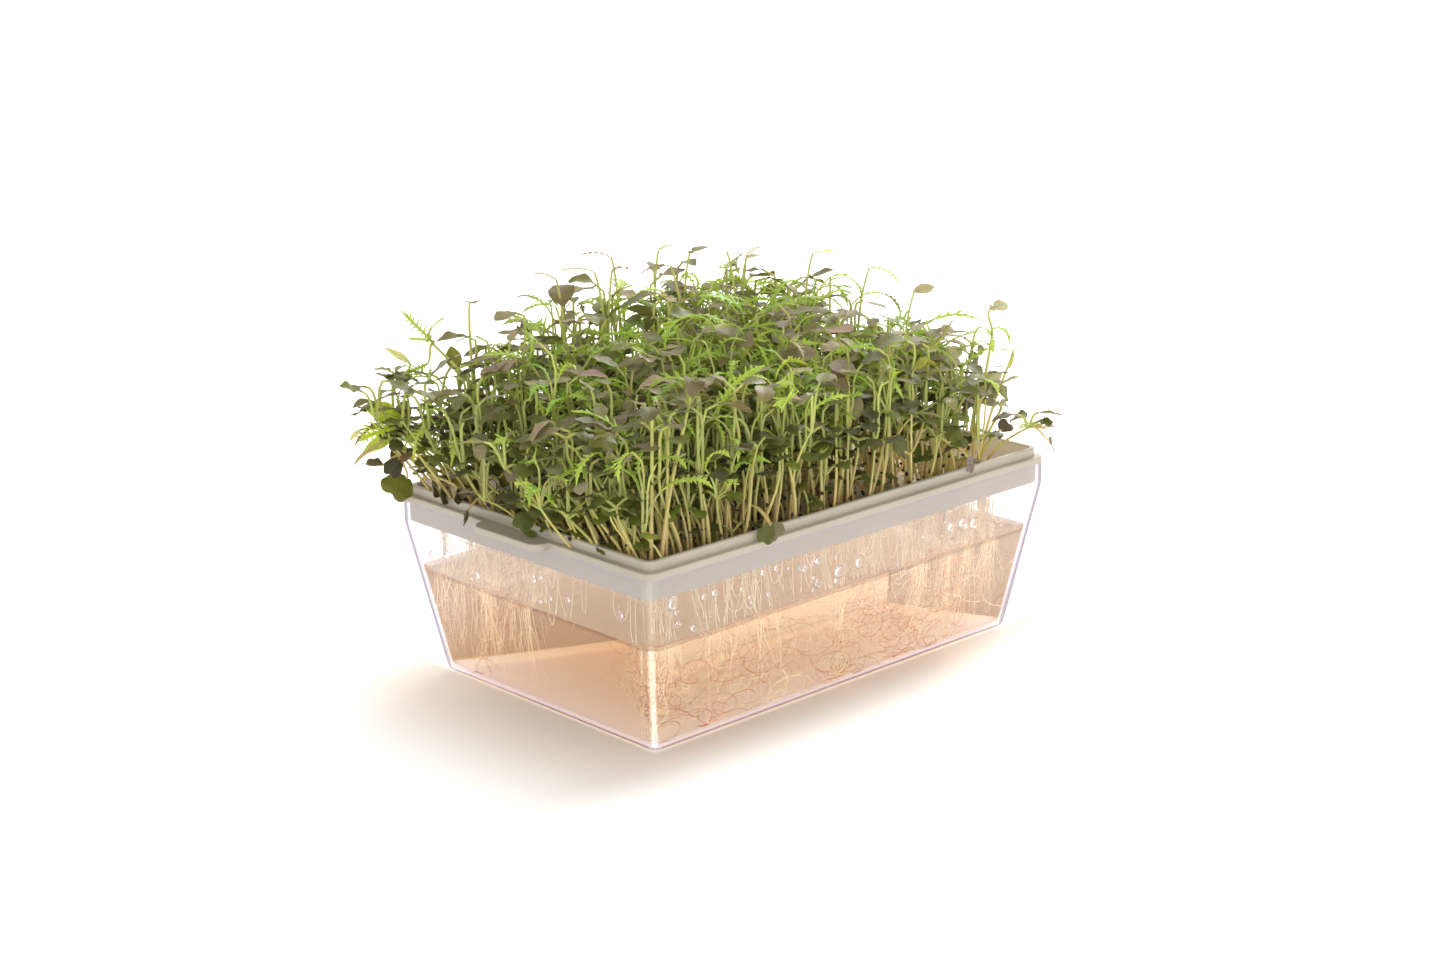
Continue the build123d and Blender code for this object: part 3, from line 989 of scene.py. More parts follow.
def add_broad_leaf(plants, rng, node, azimuth, reach, rise, length, tilt, tones, width=1.0):
    """Stalked true leaf, its blade close to level. Tones are its top and under colours."""
    at = node + direction(azimuth, 0.0) * reach + UP * rise
    forward = direction(azimuth + rng.normal(0, 0.15), tilt)
    add_stalk(plants, node - UP * 0.5, direction(azimuth, 1.15), at + forward * 0.8, forward,
              radii=(0.72, 0.55), colour=vary(STEM_HIGH * 0.95, rng, 0.08), count=6, sides=5)
    up = UP + rng.normal(0, 0.14 if rng.uniform() < 0.85 else 0.5, 3)
    points, faces, leaf = place_leaf(
        BROAD[rng.integers(len(BROAD))], rng, at, forward, up, length,
        width=width * rng.uniform(0.85, 1.15), droop=rng.uniform(0.0, 0.7),
        cup=rng.uniform(0.0, 0.5), wave=rng.uniform(0.1, 0.5), twist=rng.normal(0, 0.18))
    top = vary(tones[0], rng, 0.20)
    under = vary(tones[1], rng, 0.16)
    colour = leaf_colours(leaf, top, under, linear(126, 132, 80), stalk_mix=0.5)
    plants.add(points, faces, BLADE, colour, leaf)


def add_feather_leaf(plants, rng, node, azimuth, reach, rise, length, tilt, droop, tint, purple):
    """Finely cut blade on a slim arching stalk. Purple is the share of it at the tip."""
    base = vary(tint, rng, 0.14)
    at = node + direction(azimuth, 0.0) * reach + UP * rise
    forward = direction(azimuth + rng.normal(0, 0.2), tilt)
    add_stalk(plants, node - UP * 0.5, direction(azimuth, rng.uniform(1.15, 1.45)),
              at + forward * 0.6, forward, radii=(0.62, 0.5),
              colour=vary(STEM_HIGH, rng, 0.08), count=6, sides=4)
    points, faces, leaf = place_leaf(
        FEATHER[rng.integers(len(FEATHER))], rng, at, forward,
        UP + rng.normal(0, 0.3, 3) + 0.001, length, width=rng.uniform(0.55, 0.95), droop=droop,
        cup=rng.uniform(0.0, 0.7), wave=0.5, twist=rng.normal(0, 0.6))
    colour = leaf_colours(leaf, base, base * 0.92)
    share = np.clip((leaf[:, 0:1] - 0.2) / 0.5, 0, 1) * purple
    colour = colour * (1 - share) + linear(116, 84, 92) * share
    plants.add(points, faces, BLADE, colour, leaf)


# ---------------------------------------------------------------- heads of each kind
# Each takes the growing point, the turn of the plant and the height left above the point.
def mustard_head(plants, rng, node, turn, room):
    add_seed_leaves(plants, rng, node, turn, elevation=rng.uniform(-0.15, 0.5),
                    size=rng.uniform(6.6, 8.6), gain=rng.uniform(0.75, 1.15),
                    green=rng.uniform(0, 0.7))
    if room > 16:
        tones = (linear(128, 130, 92), linear(138, 150, 76))
        for k in range(rng.integers(1, 3)):
            add_broad_leaf(plants, rng, node, turn + 1.5 + k * 2.6 + rng.normal(0, 0.3),
                           reach=rng.uniform(2, 9), rise=min(room, 30) * rng.uniform(0.55, 1.0),
                           length=rng.uniform(9, 14), tilt=rng.normal(0.15, 0.25),
                           tones=tones, width=0.95)


def kale_head(plants, rng, node, turn, room):
    add_seed_leaves(plants, rng, node, turn, elevation=rng.uniform(-0.2, 0.35),
                    size=rng.uniform(6.6, 8.4), gain=rng.uniform(0.6, 1.0),
                    green=rng.uniform(0, 0.3))
    for k in range(rng.integers(1, 4)):
        length = rng.uniform(11, 18)
        rise = room * (1.0 - k * rng.uniform(0.12, 0.3)) * rng.uniform(0.86, 1.02)
        purple = rng.uniform()
        top = linear(168, 156, 140) * purple + linear(118, 120, 76) * (1 - purple)
        under = linear(112, 98, 84) * purple + linear(130, 142, 74) * (1 - purple)
        add_broad_leaf(plants, rng, node, turn + 1.57 + k * 2.4 + rng.normal(0, 0.35),
                       reach=rng.uniform(1.5, 8.0), rise=rise, length=length,
                       tilt=rng.normal(0.06, 0.2), tones=(top, under))
    if rng.uniform() < 0.5:     # a young upright leaf
        add_broad_leaf(plants, rng, node, turn + rng.uniform(0, 6), reach=1.5, rise=room * 0.5,
                       length=rng.uniform(5, 8), tilt=rng.uniform(0.6, 1.2),
                       tones=(linear(150, 162, 84), linear(160, 176, 84)), width=0.8)


def mizuna_head(plants, rng, node, turn, room):
    add_seed_leaves(plants, rng, node, turn, elevation=rng.uniform(-0.1, 0.4),
                    size=rng.uniform(5.8, 7.6), gain=rng.uniform(0.9, 1.25),
                    green=rng.uniform(0.5, 1.0))
    for k in range(rng.integers(3, 6)):
        length = rng.uniform(16, 30)
        tilt = rng.uniform(0.3, 1.25)
        rise = max(room * rng.uniform(0.5, 1.0) - length * math.sin(max(tilt - 0.45, 0)), 4.0)
        tint = linear(172, 198, 100) if rng.uniform() < 0.8 else linear(146, 182, 96)
        add_feather_leaf(plants, rng, node, turn + 1.2 + k * 2.2 + rng.normal(0, 0.4),
                         reach=rng.uniform(1.5, 8.0), rise=rise, length=length, tilt=tilt,
                         droop=rng.uniform(0.9, 2.5), tint=tint,
                         purple=0.85 if rng.uniform() < 0.2 else 0.0)


HEADS = {"mustard": mustard_head, "kale": kale_head, "mizuna": mizuna_head}
# range of the growing point's height as a share of the plant's
NODE_SHARE = {"mustard": (0.36, 0.74), "kale": (0.42, 0.68), "mizuna": (0.36, 0.62)}


# ---------------------------------------------------------------- the crop
def crop_top(x, y):
    """Height of the crop above the base: higher to +Y, lower at both X ends."""
    far = np.clip((y + BED_Y) / (2 * BED_Y), 0, 1)
    z = 146.0 + 14.0 * far
    z -= 17.0 * np.clip((x - 40.0) / 60.0, 0, 1) * (1.0 - 0.25 * far)
    z -= 11.0 * np.clip((-x - 30.0) / 40.0, 0, 1) * far
    z -= 14.0 * np.clip((-x - 76.0) / 35.0, 0, 1)
    return z


def lean_at(x, y):
    """How far a head sits outward of its root, most of all at the -X end."""
    end = np.clip((-x - 52.0) / 60.0, 0, 1)
    return np.array([7.0 * (x / BED_X) ** 3 - 24.0 * end ** 1.3,
                     6.0 * (y / BED_Y) ** 3 + 9.0 * end])


def grow(kind, rng, x, y, seed_leaf_z=None):
    """One seedling from its root, its growing point at seed_leaf_z where that is given."""
    plants = group(kind, y)
    late = seed_leaf_z is not None
    top = (seed_leaf_z + 9.0 if late else crop_top(x, y)) + rng.normal(-4.0, 6.0)
    lean_x, lean_y = lean_at(x, y) + rng.normal(0, 7.0, 2)
    base = np.array([x, y, STEM_FOOT])
    full = top - base[2]
    share = {name: rng.uniform(*span) for name, span in NODE_SHARE.items()}[kind]
    height = full * share
    if late:
        height = seed_leaf_z - base[2]
        lean_x, lean_y = lean_x * height / 75.0, lean_y * height / 75.0
    part = (height / full) ** 1.2
    node = base + np.array([lean_x * part, lean_y * part, height])
    bend = rng.normal(0, 5.5, 2)
    leave = base + np.array([bend[0], bend[1], height * 0.36])
    arrive = node - np.array([lean_x * 0.25 + bend[1] * 0.5, lean_y * 0.25 - bend[0] * 0.5,
                              height * 0.33])
    path = bezier(base, leave, arrive, node, 8)
    radius = rng.uniform(0.46, 0.76)
    points, faces = tube(path, radius * np.linspace(1.05, 0.78, 8), 6)
    pink = np.clip(rng.normal(0.25, 0.3), 0, 1) if kind != "mizuna" else 0.05
    colour = stem_colour(points[:, 2], base[2], node[2], pink, rng.uniform(0.82, 1.16))
    plants.add(points, faces, STEM, colour)
    turn = rng.uniform(0, 2 * math.pi)
    HEADS[kind](plants, rng, node, turn, top - node[2])
    for _ in range(rng.integers(0, 3)):     # hulls caught on the stem
        spot = rng.uniform(0.05, 0.8) ** 1.3
        centre = path[int(spot * 7)] + np.array([*rng.normal(0, 0.9, 2), 0])
        points, faces = hull_bead(centre, (1.15, 0.85, 0.8), random_rotation(rng))
        hulls.add(points, faces, 0, vary(linear(52, 38, 28), rng, 0.3))


def corner_share(x, y, start):
    """Grows from 0 towards the +X -Y corner of the tray."""
    return max(0.0, (x - start) / 26.0) * max(0.0, (-y + 10.0) / 70.0)


def sow():
    rng = np.random.default_rng(2024)
    columns, rows, margin, jitter, late_starters = 29, 24, 4, 0.38, 165
    pitch_x = 2 * (BED_X - margin) / (columns - 1)
    pitch_y = 2 * (BED_Y - margin) / (rows - 1)
    for j in range(rows):
        for i in range(columns):
            x = -BED_X + margin + i * pitch_x + rng.uniform(-jitter, jitter) * pitch_x
            y = -BED_Y + margin + j * pitch_y + rng.uniform(-jitter, jitter) * pitch_y
            x = float(np.clip(x, -BED_X + 2.5, BED_X - 2.5))
            y = float(np.clip(y, -BED_Y + 2.5, BED_Y - 2.5))
            # the +X -Y corner stays nearly bare
            bare = corner_share(x, y, 88.0) + 0.85 * max(0.0, (x - 90.0) / 14.0)
            skip = 0.20 + 1.4 * bare + 0.08 * (y > 0 and x > -40) - 0.12 * (x < -50 and y > 10)
            if rng.uniform() < skip:
                continue
            weights = np.array([0.46, 0.24, 0.30] if x < -70 else [0.30, 0.34, 0.36])
            kind = KINDS[rng.choice(3, p=weights / weights.sum())]
            grow(kind, np.random.default_rng(int(rng.integers(1 << 30))), x, y)

    # late starters: short plants with only their seed leaves open, thickest at -X and -Y
    for _ in range(late_starters):
        x, y = rng.uniform(-BED_X + 3, BED_X - 3), rng.uniform(-BED_Y + 3, BED_Y - 3)
        if rng.uniform() < 0.72:
            if rng.uniform() < 0.6:
                y = -BED_Y + 3 + abs(rng.normal(0, 11))
            else:
                x = -BED_X + 3 + abs(rng.normal(0, 9))
        if corner_share(x, y, 92.0) > 0.25:
            continue
        height = rng.uniform(82, 132)
        own_rng = np.random.default_rng(int(rng.integers(1 << 30)))
        grow("mustard", own_rng, x, y, seed_leaf_z=height)


sow()

# ---------------------------------------------------------------- placed plants
# These lean out over the rim or rise above the crop. Facing is where the upper face looks.
VIEW_RIGHT, VIEW_BACK = np.round(CAM_RIGHT, 5), np.round(CAM_BACK, 5)
FACING = {
    "front": 0.9 * VIEW_BACK + 0.45 * UP,
    "up": UP + 0.15 * VIEW_BACK,
    "down": -UP + 0.5 * VIEW_BACK,
    "side": 0.6 * VIEW_BACK - 0.8 * VIEW_RIGHT,
}
# root x and y, growing point, stem radius, how far the stem bows
PLACED_STEMS = (
    ((-72.2, 20.1), (-121.3, 74, 113.8), 0.85, 0.4),
    ((-62.5, 41.7), (-125.3, 74, 110.7), 0.8, 0.4),
    ((-73.8, 53.9), (-120.8, 76, 106.4), 0.75, 0.4),
    ((-85.9, 58.9), (-112.9, 66, 90.9), 0.8, 0.4),
    ((-82.4, 10), (-118.3, 66, 105.4), 0.85, 0.4),
    ((-77.1, 58.8), (-106.9, 66, 112.3), 0.8, 0.4),
    ((-74, 1.6), (-85.2, 56, 102.5), 0.85, 0.4),
    ((-72.9, 37.4), (-121.5, 74, 130.7), 0.8, 0.5),
    ((-92.9, 62.7), (-122.4, 74, 99.8), 0.7, 0.4),
    ((-72, 30.3), (-91.6, 74, 131.5), 0.8, 0.4),
    ((-71.7, 51.2), (-103.2, 74, 145.5), 0.7, 0.4),
    ((-108, -69), (-108.6, -72, 136.1), 0.78, 0.15),
    ((-105, -71), (-89, -72, 142.7), 0.74, 0.3),
    ((-100, -69), (-100.4, -72, 130.4), 0.7, 0.2),
    ((96, -60), (98.1, -72, 95.6), 0.7, 0.4),
    ((106, -56), (118, -72, 93), 0.6, 0.4),
    ((88, -64), (94, -70, 140), 0.7, 0.2),
    ((98, -60), (108, -70, 128), 0.65, 0.3),
    ((84, -64), (95, -62, 112.3), 0.72, 0.25),
    ((78, -60), (80.7, -64, 110.7), 0.72, 0.25),
    ((80, -56), (96.8, -56, 130.2), 0.74, 0.2),
    ((72, -58), (81.2, -58, 127.3), 0.72, 0.2),
    ((62, -66), (57.6, -66, 108.2), 0.74, 0.25),
    ((92, -62), (105.6, -66, 102.7), 0.66, 0.3),
)
# shape, pattern, stalk end, direction, length, facing, width, droop, cup,
# upper colour, lower colour where it differs
PLACED_LEAVES = (
    ("broad", 0, (-121.3, 74, 115.8), (-0.90, 0, 0.43), 18.5, "front", 1.05, 0.2, 0.2, (150, 168, 58)),
    ("broad", 7, (-119.7, 78, 111.6), (0.29, 0, 0.96), 11.4, "front", 1, 0.2, 0.1, (112, 112, 52)),
    ("feather", 0, (-129.6, 74, 116.9), (-0.99, 0, -0.14), 21.5, "up", 1, 0.5, 0.3, (128, 98, 92)),
    ("broad", 4, (-144, 74, 115.4), (-0.94, 0, -0.33), 10.6, "front", 0.55, 0.2, 0.3, (190, 188, 124)),
    ("feather", 2, (-131.4, 66, 115.3), (-1, 0, -0.01), 21.5, "front", 1.2, 0.3, 0.1, (178, 192, 66)),
    ("broad", 4, (-120.5, 80, 108.3), (-0.97, 0, -0.22), 18, "front", 0.8, 0.4, 0.2,
     (150, 165, 84), (140, 155, 74)),
    ("broad", 4, (-136.6, 74, 106), (-0.98, 0, -0.21), 16, "up", 0.4, 0.3, 0.2,
     (158, 146, 112), (128, 118, 84)),
    ("heart", 0, (-133.4, 74, 97.9), (-1, 0, -0.02), 9.4, "down", 0.9, 0.6, -0.5,
     (66, 60, 42), (118, 124, 52)),
    ("heart", 2, (-129.7, 66, 101.3), (-0.69, 0, -0.72), 8.7, "front", 0.8, 0.3, 0.1, (58, 56, 44)),
    ("heart", 1, (-124.5, 78, 101.9), (0.65, 0, -0.76), 8.4, "front", 0.9, 0.4, 0.2, (72, 78, 36)),
    ("heart", 2, (-120.3, 74, 89.4), (-0.87, 0, -0.50), 11.4, "front", 1.1, 0.3, 0.1,
     (96, 100, 44), (92, 96, 42)),
    ("broad", 4, (-115.7, 74, 139.3), (-0.78, 0, 0.62), 14.2, "front", 0.55, 0.3, 0.2, (214, 216, 164)),
    ("feather", 4, (-106.9, 74, 137.3), (-0.99, 0, -0.15), 13.5, "front", 1.4, 0.3, 0, (150, 182, 76)),
    ("feather", 1, (-103.2, 74, 145.9), (-0.66, 0, 0.75), 21.7, "front", 1, 0.2, 0.2, (172, 186, 104)),
    ("feather", 3, (-102.6, 74, 146.7), (-0.96, 0, 0.29), 13.6, "front", 1.1, 0.2, 0.1, (160, 186, 92)),
    ("feather", 3, (-103.9, 74, 152.6), (0.87, 0, 0.49), 8.9, "front", 1, 0.3, 0.1, (168, 190, 96)),
    ("broad", 7, (-91.6, 74, 131.9), (-0.20, 0, 0.98), 10.8, "front", 1, 0.3, 0.3, (122, 132, 56)),
    ("heart", 0, (-121, 55.8, 91.9), (0, 0.40, -0.92), 8.5, "side", 0.9, 1.6, 0.3,
     (150, 140, 150), (72, 70, 40)),
    ("heart", 1, (-121.5, 49, 90.2), (0, 0.59, -0.80), 9.7, "side", 0.8, 1.7, 0.2,
     (88, 92, 44), (66, 62, 38)),
    ("heart", 2, (-121, 38.5, 91.9), (0, 0.75, -0.66), 8.7, "side", 0.8, 1.6, 0.3,
     (120, 112, 112), (60, 58, 38)),
    ("heart", 3, (-123, 30.4, 83.9), (0, -0.91, -0.41), 8.3, "side", 0.8, -1.4, 0.3,
     (74, 72, 40), (62, 58, 36)),
    ("heart", 0, (-118, 15.2, 98.8), (0, 0.50, -0.87), 8, "side", 0.9, 1.4, 0.4,
     (146, 138, 140), (86, 88, 42)),
    ("heart", 2, (-118, 9.2, 96.3), (0, -0.14, -0.99), 8.7, "front", 1, 0.3, 0.1, (66, 66, 34)),
    ("heart", 1, (-114, -18.5, 103), (0, 0.89, -0.45), 9, "front", 0.9, 0.6, 0.2, (58, 56, 42)),
    ("broad", 1, (-112, -20.8, 103.2), (0, -0.89, 0.46), 17, "up", 0.8, 0.5, 0.3,
     (112, 108, 88), (92, 90, 62)),
    ("heart", 1, (-55.9, -84, 88.4), (-0.58, 0, -0.82), 8.3, "front", 0.95, 0.2, 0.1, (82, 88, 46)),
    ("heart", 0, (-55.6, -84, 88.4), (0.56, 0, -0.80), 8.3, "front", 0.9, 0.2, 0.1, (98, 94, 74)),
    ("heart", 3, (66.3, -84, 89.6), (-0.46, 0, -0.89), 5.2, "front", 0.8, 0.6, 0.2,
     (118, 108, 116), (90, 82, 84)),
    ("heart", 0, (63.3, -84, 92.1), (0.66, 0, -0.75), 5.1, "front", 0.8, 0.6, 0.2,
     (108, 100, 108), (90, 82, 84)),
    ("heart", 2, (60.2, -76, 98.3), (0.98, 0, 0.21), 9.3, "front", 1, 0.2, 0.1, (84, 96, 44)),
    ("heart", 1, (31.5, -76, 99.7), (-0.74, 0, 0.67), 8.2, "front", 0.9, 0.2, 0.1, (78, 84, 42)),
    ("heart", 0, (98.5, -72, 95.2), (0.90, 0, 0.44), 7.2, "front", 0.9, 0.3, 0.2, (74, 66, 52)),
    ("feather", 5, (124.9, -74, 93.5), (-0.95, 0, 0.32), 17.1, "up", 1, 0.6, 0.2,
     (160, 172, 96), (150, 160, 84)),
    ("broad", 1, (128.6, -74, 91.9), (1, 0, 0.02), 9.7, "front", 0.8, 0.3, 0.3,
     (140, 124, 120), (124, 108, 100)),
    ("broad", 4, (128.6, -74, 92.4), (-0.33, 0, 0.94), 4.8, "front", 0.8, 0.3, 0.3,
     (150, 136, 124), (124, 108, 100)),
    ("heart", 1, (126.8, -77, 86), (0.90, 0, -0.45), 7.4, "front", 0.8, 0.5, 0.2,
     (106, 94, 98), (86, 76, 76)),
    ("broad", 3, (92, -70, 151), (1, 0, 0.12), 13.5, "front", 0.9, 0.3, 0.2, (172, 172, 138)),
    ("feather", 0, (94, -70, 142), (0.98, 0, 0.18), 18, "up", 1, 1.6, 0.1, (150, 184, 84)),
    ("broad", 4, (108.5, -70, 130), (-0.95, 0, 0.31), 9.5, "up", 0.6, 0.4, 0.3, (160, 166, 110)),
    ("heart", 1, (99.5, -70, 113), (0.92, 0, -0.40), 8.2, "front", 0.9, 0.3, 0.1, (112, 112, 66)),
    ("heart", 2, (98, -70, 112), (-0.82, 0, 0.57), 7.9, "front", 0.9, 0.3, 0.1, (98, 98, 60)),
    ("broad", 1, (91.9, -56, 136), (-0.92, 0, 0.39), 19.5, "up", 0.8, 0.5, 0.3,
     (168, 160, 146), (120, 116, 84)),
    ("broad", 3, (90.4, -58, 132.9), (-0.99, 0, -0.17), 14.7, "front", 0.85, 0.4, 0.3, (170, 172, 140)),
    ("broad", 7, (81.6, -60, 126.2), (-1, 0, -0.01), 9.9, "up", 0.9, 0.5, 0.3, (104, 108, 66)),
    ("broad", 2, (101.4, -56, 131.6), (0.41, 0, -0.91), 7.1, "front", 0.8, 0.5, 0.3, (120, 114, 98)),
    ("heart", 0, (93.8, -58, 129.6), (0.46, 0, -0.89), 4.5, "front", 0.95, 0.3, 0.1, (84, 84, 50)),
    ("heart", 2, (95.2, -58, 127.1), (0.84, 0, -0.55), 5.7, "front", 0.95, 0.3, 0.1, (88, 88, 54)),
    ("broad", 5, (94.9, -62, 118.7), (0.99, 0, 0.16), 8.2, "up", 0.9, 0.4, 0.3,
     (158, 148, 138), (130, 116, 96)),
    ("broad", 0, (96, -64, 117.9), (1, 0, 0.09), 13.6, "front", 0.75, 0.3, 0.2, (150, 154, 112)),
    ("broad", 3, (93, -66, 116.5), (1, 0, 0.01), 14.2, "front", 0.75, 0.3, 0.2, (152, 152, 122)),
    ("broad", 7, (95, -62, 112.3), (1, 0, -0.02), 11.6, "front", 1, 0.4, 0.2, (112, 110, 58)),
    ("broad", 2, (93.4, -64, 112), (0.94, 0, -0.33), 11.6, "up", 0.8, 0.4, 0.2, (132, 122, 112)),
    ("broad", 1, (105.5, -66, 105), (-0.95, 0, 0.33), 12.3, "front", 0.8, 0.4, 0.2, (134, 134, 108)),
    ("heart", 1, (105.5, -66, 105), (1, 0, 0), 4.8, "front", 0.9, 0.4, 0.2, (134, 134, 108)),
    ("broad", 5, (90, -64, 114.4), (-0.89, 0, 0.46), 15.2, "front", 0.8, 0.4, 0.3, (142, 144, 116)),
    ("broad", 1, (82.9, -62, 116.3), (-0.95, 0, 0.32), 12.6, "up", 0.8, 0.6, 0.3, (84, 80, 54)),
    ("broad", 0, (88.1, -64, 107.9), (-0.91, 0, 0.40), 17.6, "up", 0.75, 0.5, 0.3, (88, 86, 56)),
    ("heart", 3, (83.1, -66, 112), (0.45, 0, -0.89), 6.2, "front", 1.1, 0.3, 0.1, (70, 74, 42)),
    ("broad", 3, (90.1, -67, 108.6), (-0.86, 0, 0.51), 11.8, "front", 0.8, 0.4, 0.3, (164, 160, 142)),
    ("heart", 0, (68.8, -64, 113.8), (0.83, 0, -0.56), 5.6, "front", 1, 0.3, 0.1, (60, 56, 38)),
    ("heart", 1, (64.9, -64, 113.2), (0.71, 0, -0.70), 5.6, "front", 1, 0.3, 0.1, (64, 62, 40)),
    ("heart", 2, (78.6, -66, 106.5), (0.85, 0, -0.52), 6.3, "front", 1, 0.3, 0.1, (68, 70, 42)),
    ("broad", 0, (55.6, -66, 110.4), (-0.87, 0, 0.49), 12.5, "up", 0.85, 0.5, 0.3,
     (108, 104, 84), (84, 82, 60)),
    ("broad", 2, (55, -66, 107.4), (-0.85, 0, 0.52), 11.3, "front", 0.8, 0.5, 0.3, (86, 84, 66)),
    ("heart", 3, (55.8, -67, 110.1), (0.78, 0, -0.63), 7.6, "front", 1.1, 0.4, 0.2, (58, 60, 46)),
    ("feather", 0, (98.9, -58, 140.1), (0.99, 0, -0.14), 18.6, "up", 0.9, 1.4, 0.2, (158, 188, 92)),
    ("feather", 2, (96.4, -58, 133.7), (1, 0, 0.06), 17.7, "up", 0.8, 1.2, 0.2, (168, 190, 100)),
    ("broad", 4, (109.9, -66, 120.8), (-0.93, 0, 0.37), 11.1, "up", 0.5, 0.4, 0.3, (160, 162, 124)),
    ("heart", 0, (28.6, -74, 102.1), (0.89, 0, -0.46), 7.8, "front", 0.9, 0.4, 0.2, (70, 68, 44)),
    ("broad", 4, (68.7, -72, 94.1), (-1, 0, 0.04), 8.5, "up", 0.8, 0.5, 0.2, (96, 90, 72)),
    ("feather", 0, (-29.7, 52.1, 169), (-0.60, 0.55, 0.60), 20.3, "up", 0.8, 1.4, 0.2, (184, 176, 120)),
    ("feather", 0, (-22.1, 50.2, 169), (0.90, 0.34, 0.27), 18.7, "up", 0.8, 1, 0.2, (142, 112, 116)),
    ("feather", 1, (3.3, 38.8, 169), (-0.75, 0.58, 0.32), 17.2, "up", 0.8, 1.4, 0.2, (136, 104, 108)),
    ("feather", 3, (34.7, 35.8, 172), (-0.57, 0.40, 0.60), 9.1, "up", 1, 1.6, 0.2, (168, 160, 116)),
    ("broad", 5, (47.9, 38.4, 165), (0.99, 0.09, 0.22), 12, "up", 0.6, 0.5, 0.3,
     (186, 180, 152), (168, 160, 120)),
    ("feather", 1, (62.7, 10.4, 170), (0.98, -0.11, 0.29), 20.8, "up", 0.7, 1, 0.2, (180, 182, 112)),
    ("broad", 0, (75.3, -39.8, 157), (0.95, -0.29, 0.18), 11.8, "front", 0.8, 0.3, 0.3,
     (176, 170, 138), (150, 146, 100)),
    ("feather", 4, (-62, 40, 160), (-0.80, 0.30, 0.52), 17, "up", 0.9, 1.3, 0.2, (150, 176, 84)),
    ("feather", 1, (-45, 60, 166), (-0.30, 0.60, 0.74), 16, "up", 0.9, 1.5, 0.2, (160, 140, 110)),
    ("feather", 5, (-8, 66, 171), (-0.50, 0.30, 0.81), 18, "up", 0.8, 1.7, 0.2, (140, 120, 104)),
    ("feather", 2, (14, 60, 172), (0.70, 0.10, 0.70), 15, "up", 0.8, 1.6, 0.2, (150, 176, 84)),
    ("broad", 1, (22, 48, 171), (0.90, 0.10, 0.42), 14, "up", 0.8, 0.6, 0.3,
     (120, 124, 80), (130, 140, 80)),
    ("feather", 6, (50, 40, 166), (0.80, 0.20, 0.56), 19, "up", 0.8, 1.2, 0.2, (168, 190, 92)),
    ("feather", 3, (84, 20, 152), (0.90, -0.20, 0.39), 17, "up", 0.8, 1.3, 0.2, (150, 184, 84)),
    ("feather", 0, (75.4, -12.5, 164), (0.60, -0.78, 0.20), 18.2, "up", 0.9, 1.5, 0.2, (168, 192, 92)),
)
SHAPES = {"broad": (BROAD, "kale"), "feather": (FEATHER, "mizuna"), "heart": (HEARTS, "mustard")}


def build_placed_stems(rng):
    """Returns the growing points with the direction of the stem there."""
    nodes = []
    for (root_x, root_y), node, radius, bow in PLACED_STEMS:
        base = np.array([np.clip(root_x, -BED_X + 3, BED_X - 3),
                         np.clip(root_y, -BED_Y + 3, BED_Y - 3), STEM_FOOT])
        node = np.array(node, float)
        run = node - base
        leave = (base + UP * run[2] * (0.35 + bow * 0.5)
                 + np.array([run[0], run[1], 0]) * (0.25 - bow * 0.3))
        arrive = node - np.array([run[0] * bow * 0.9, run[1] * bow * 0.9, run[2] * 0.22])
        path = bezier(base, leave, arrive, node, 14)
        points, faces = tube(path, radius * np.linspace(1.1, 0.85, 14), 7)
        kale = group("kale", base[1])
        colour = stem_colour(points[:, 2], base[2], node[2], pink=0.15, gain=1.0)
        kale.add(points, faces, STEM, colour)
        last = path[-1] - path[-2]
        nodes.append((node, last / np.linalg.norm(last)))
        if min(np.linalg.norm(np.array(row[2]) - node) for row in PLACED_LEAVES) > 6.0:
            # no placed leaf is near, so the stem gets a head of its own
            turn = rng.uniform(0, 6.28)
            add_seed_leaves(group("mustard", base[1]), rng, node, turn, elevation=0.15,
                            size=rng.uniform(7.0, 8.5), gain=1.0, green=0.4)
            for k in range(2):
                add_broad_leaf(kale, rng, node, turn + 1.5 + 2.6 * k, reach=rng.uniform(3, 7),
                               rise=rng.uniform(5, 12), length=rng.uniform(11, 15), tilt=0.1,
                               tones=(linear(124, 120, 88), linear(124, 128, 72)))
    return nodes


def stalk_path(at, forward, nodes):
    """From inside the crop, from the nearest growing point, or over the rim from the bed."""
    end = at + forward * 0.6
    node, way = min(nodes, key=lambda entry: np.linalg.norm(entry[0] - at))
    gap = np.linalg.norm(node - at)
    if at[2] > 154:
        start = at - UP * 42 - np.array([forward[0], forward[1], 0]) * 5
        return bezier(start, start + UP * 18, at - forward * 3 - UP * 9, end, 9)
    if gap < 34 and abs(at[1]) < 81:
        return bezier(node - way * 0.6, node + way * gap * 0.4,
                      at - forward * gap * 0.35 - UP * gap * 0.1, end, 9)
    root = np.array([np.clip(at[0], -BED_X + 12, BED_X - 12),
                     np.clip(at[1], -BED_Y + 10, BED_Y - 10), STEM_FOOT])
    inward = np.array([root[0] - at[0], root[1] - at[1], 0.0])
    return bezier(root, root + UP * 20, at + inward * 0.75 + UP * 13, end, 14)


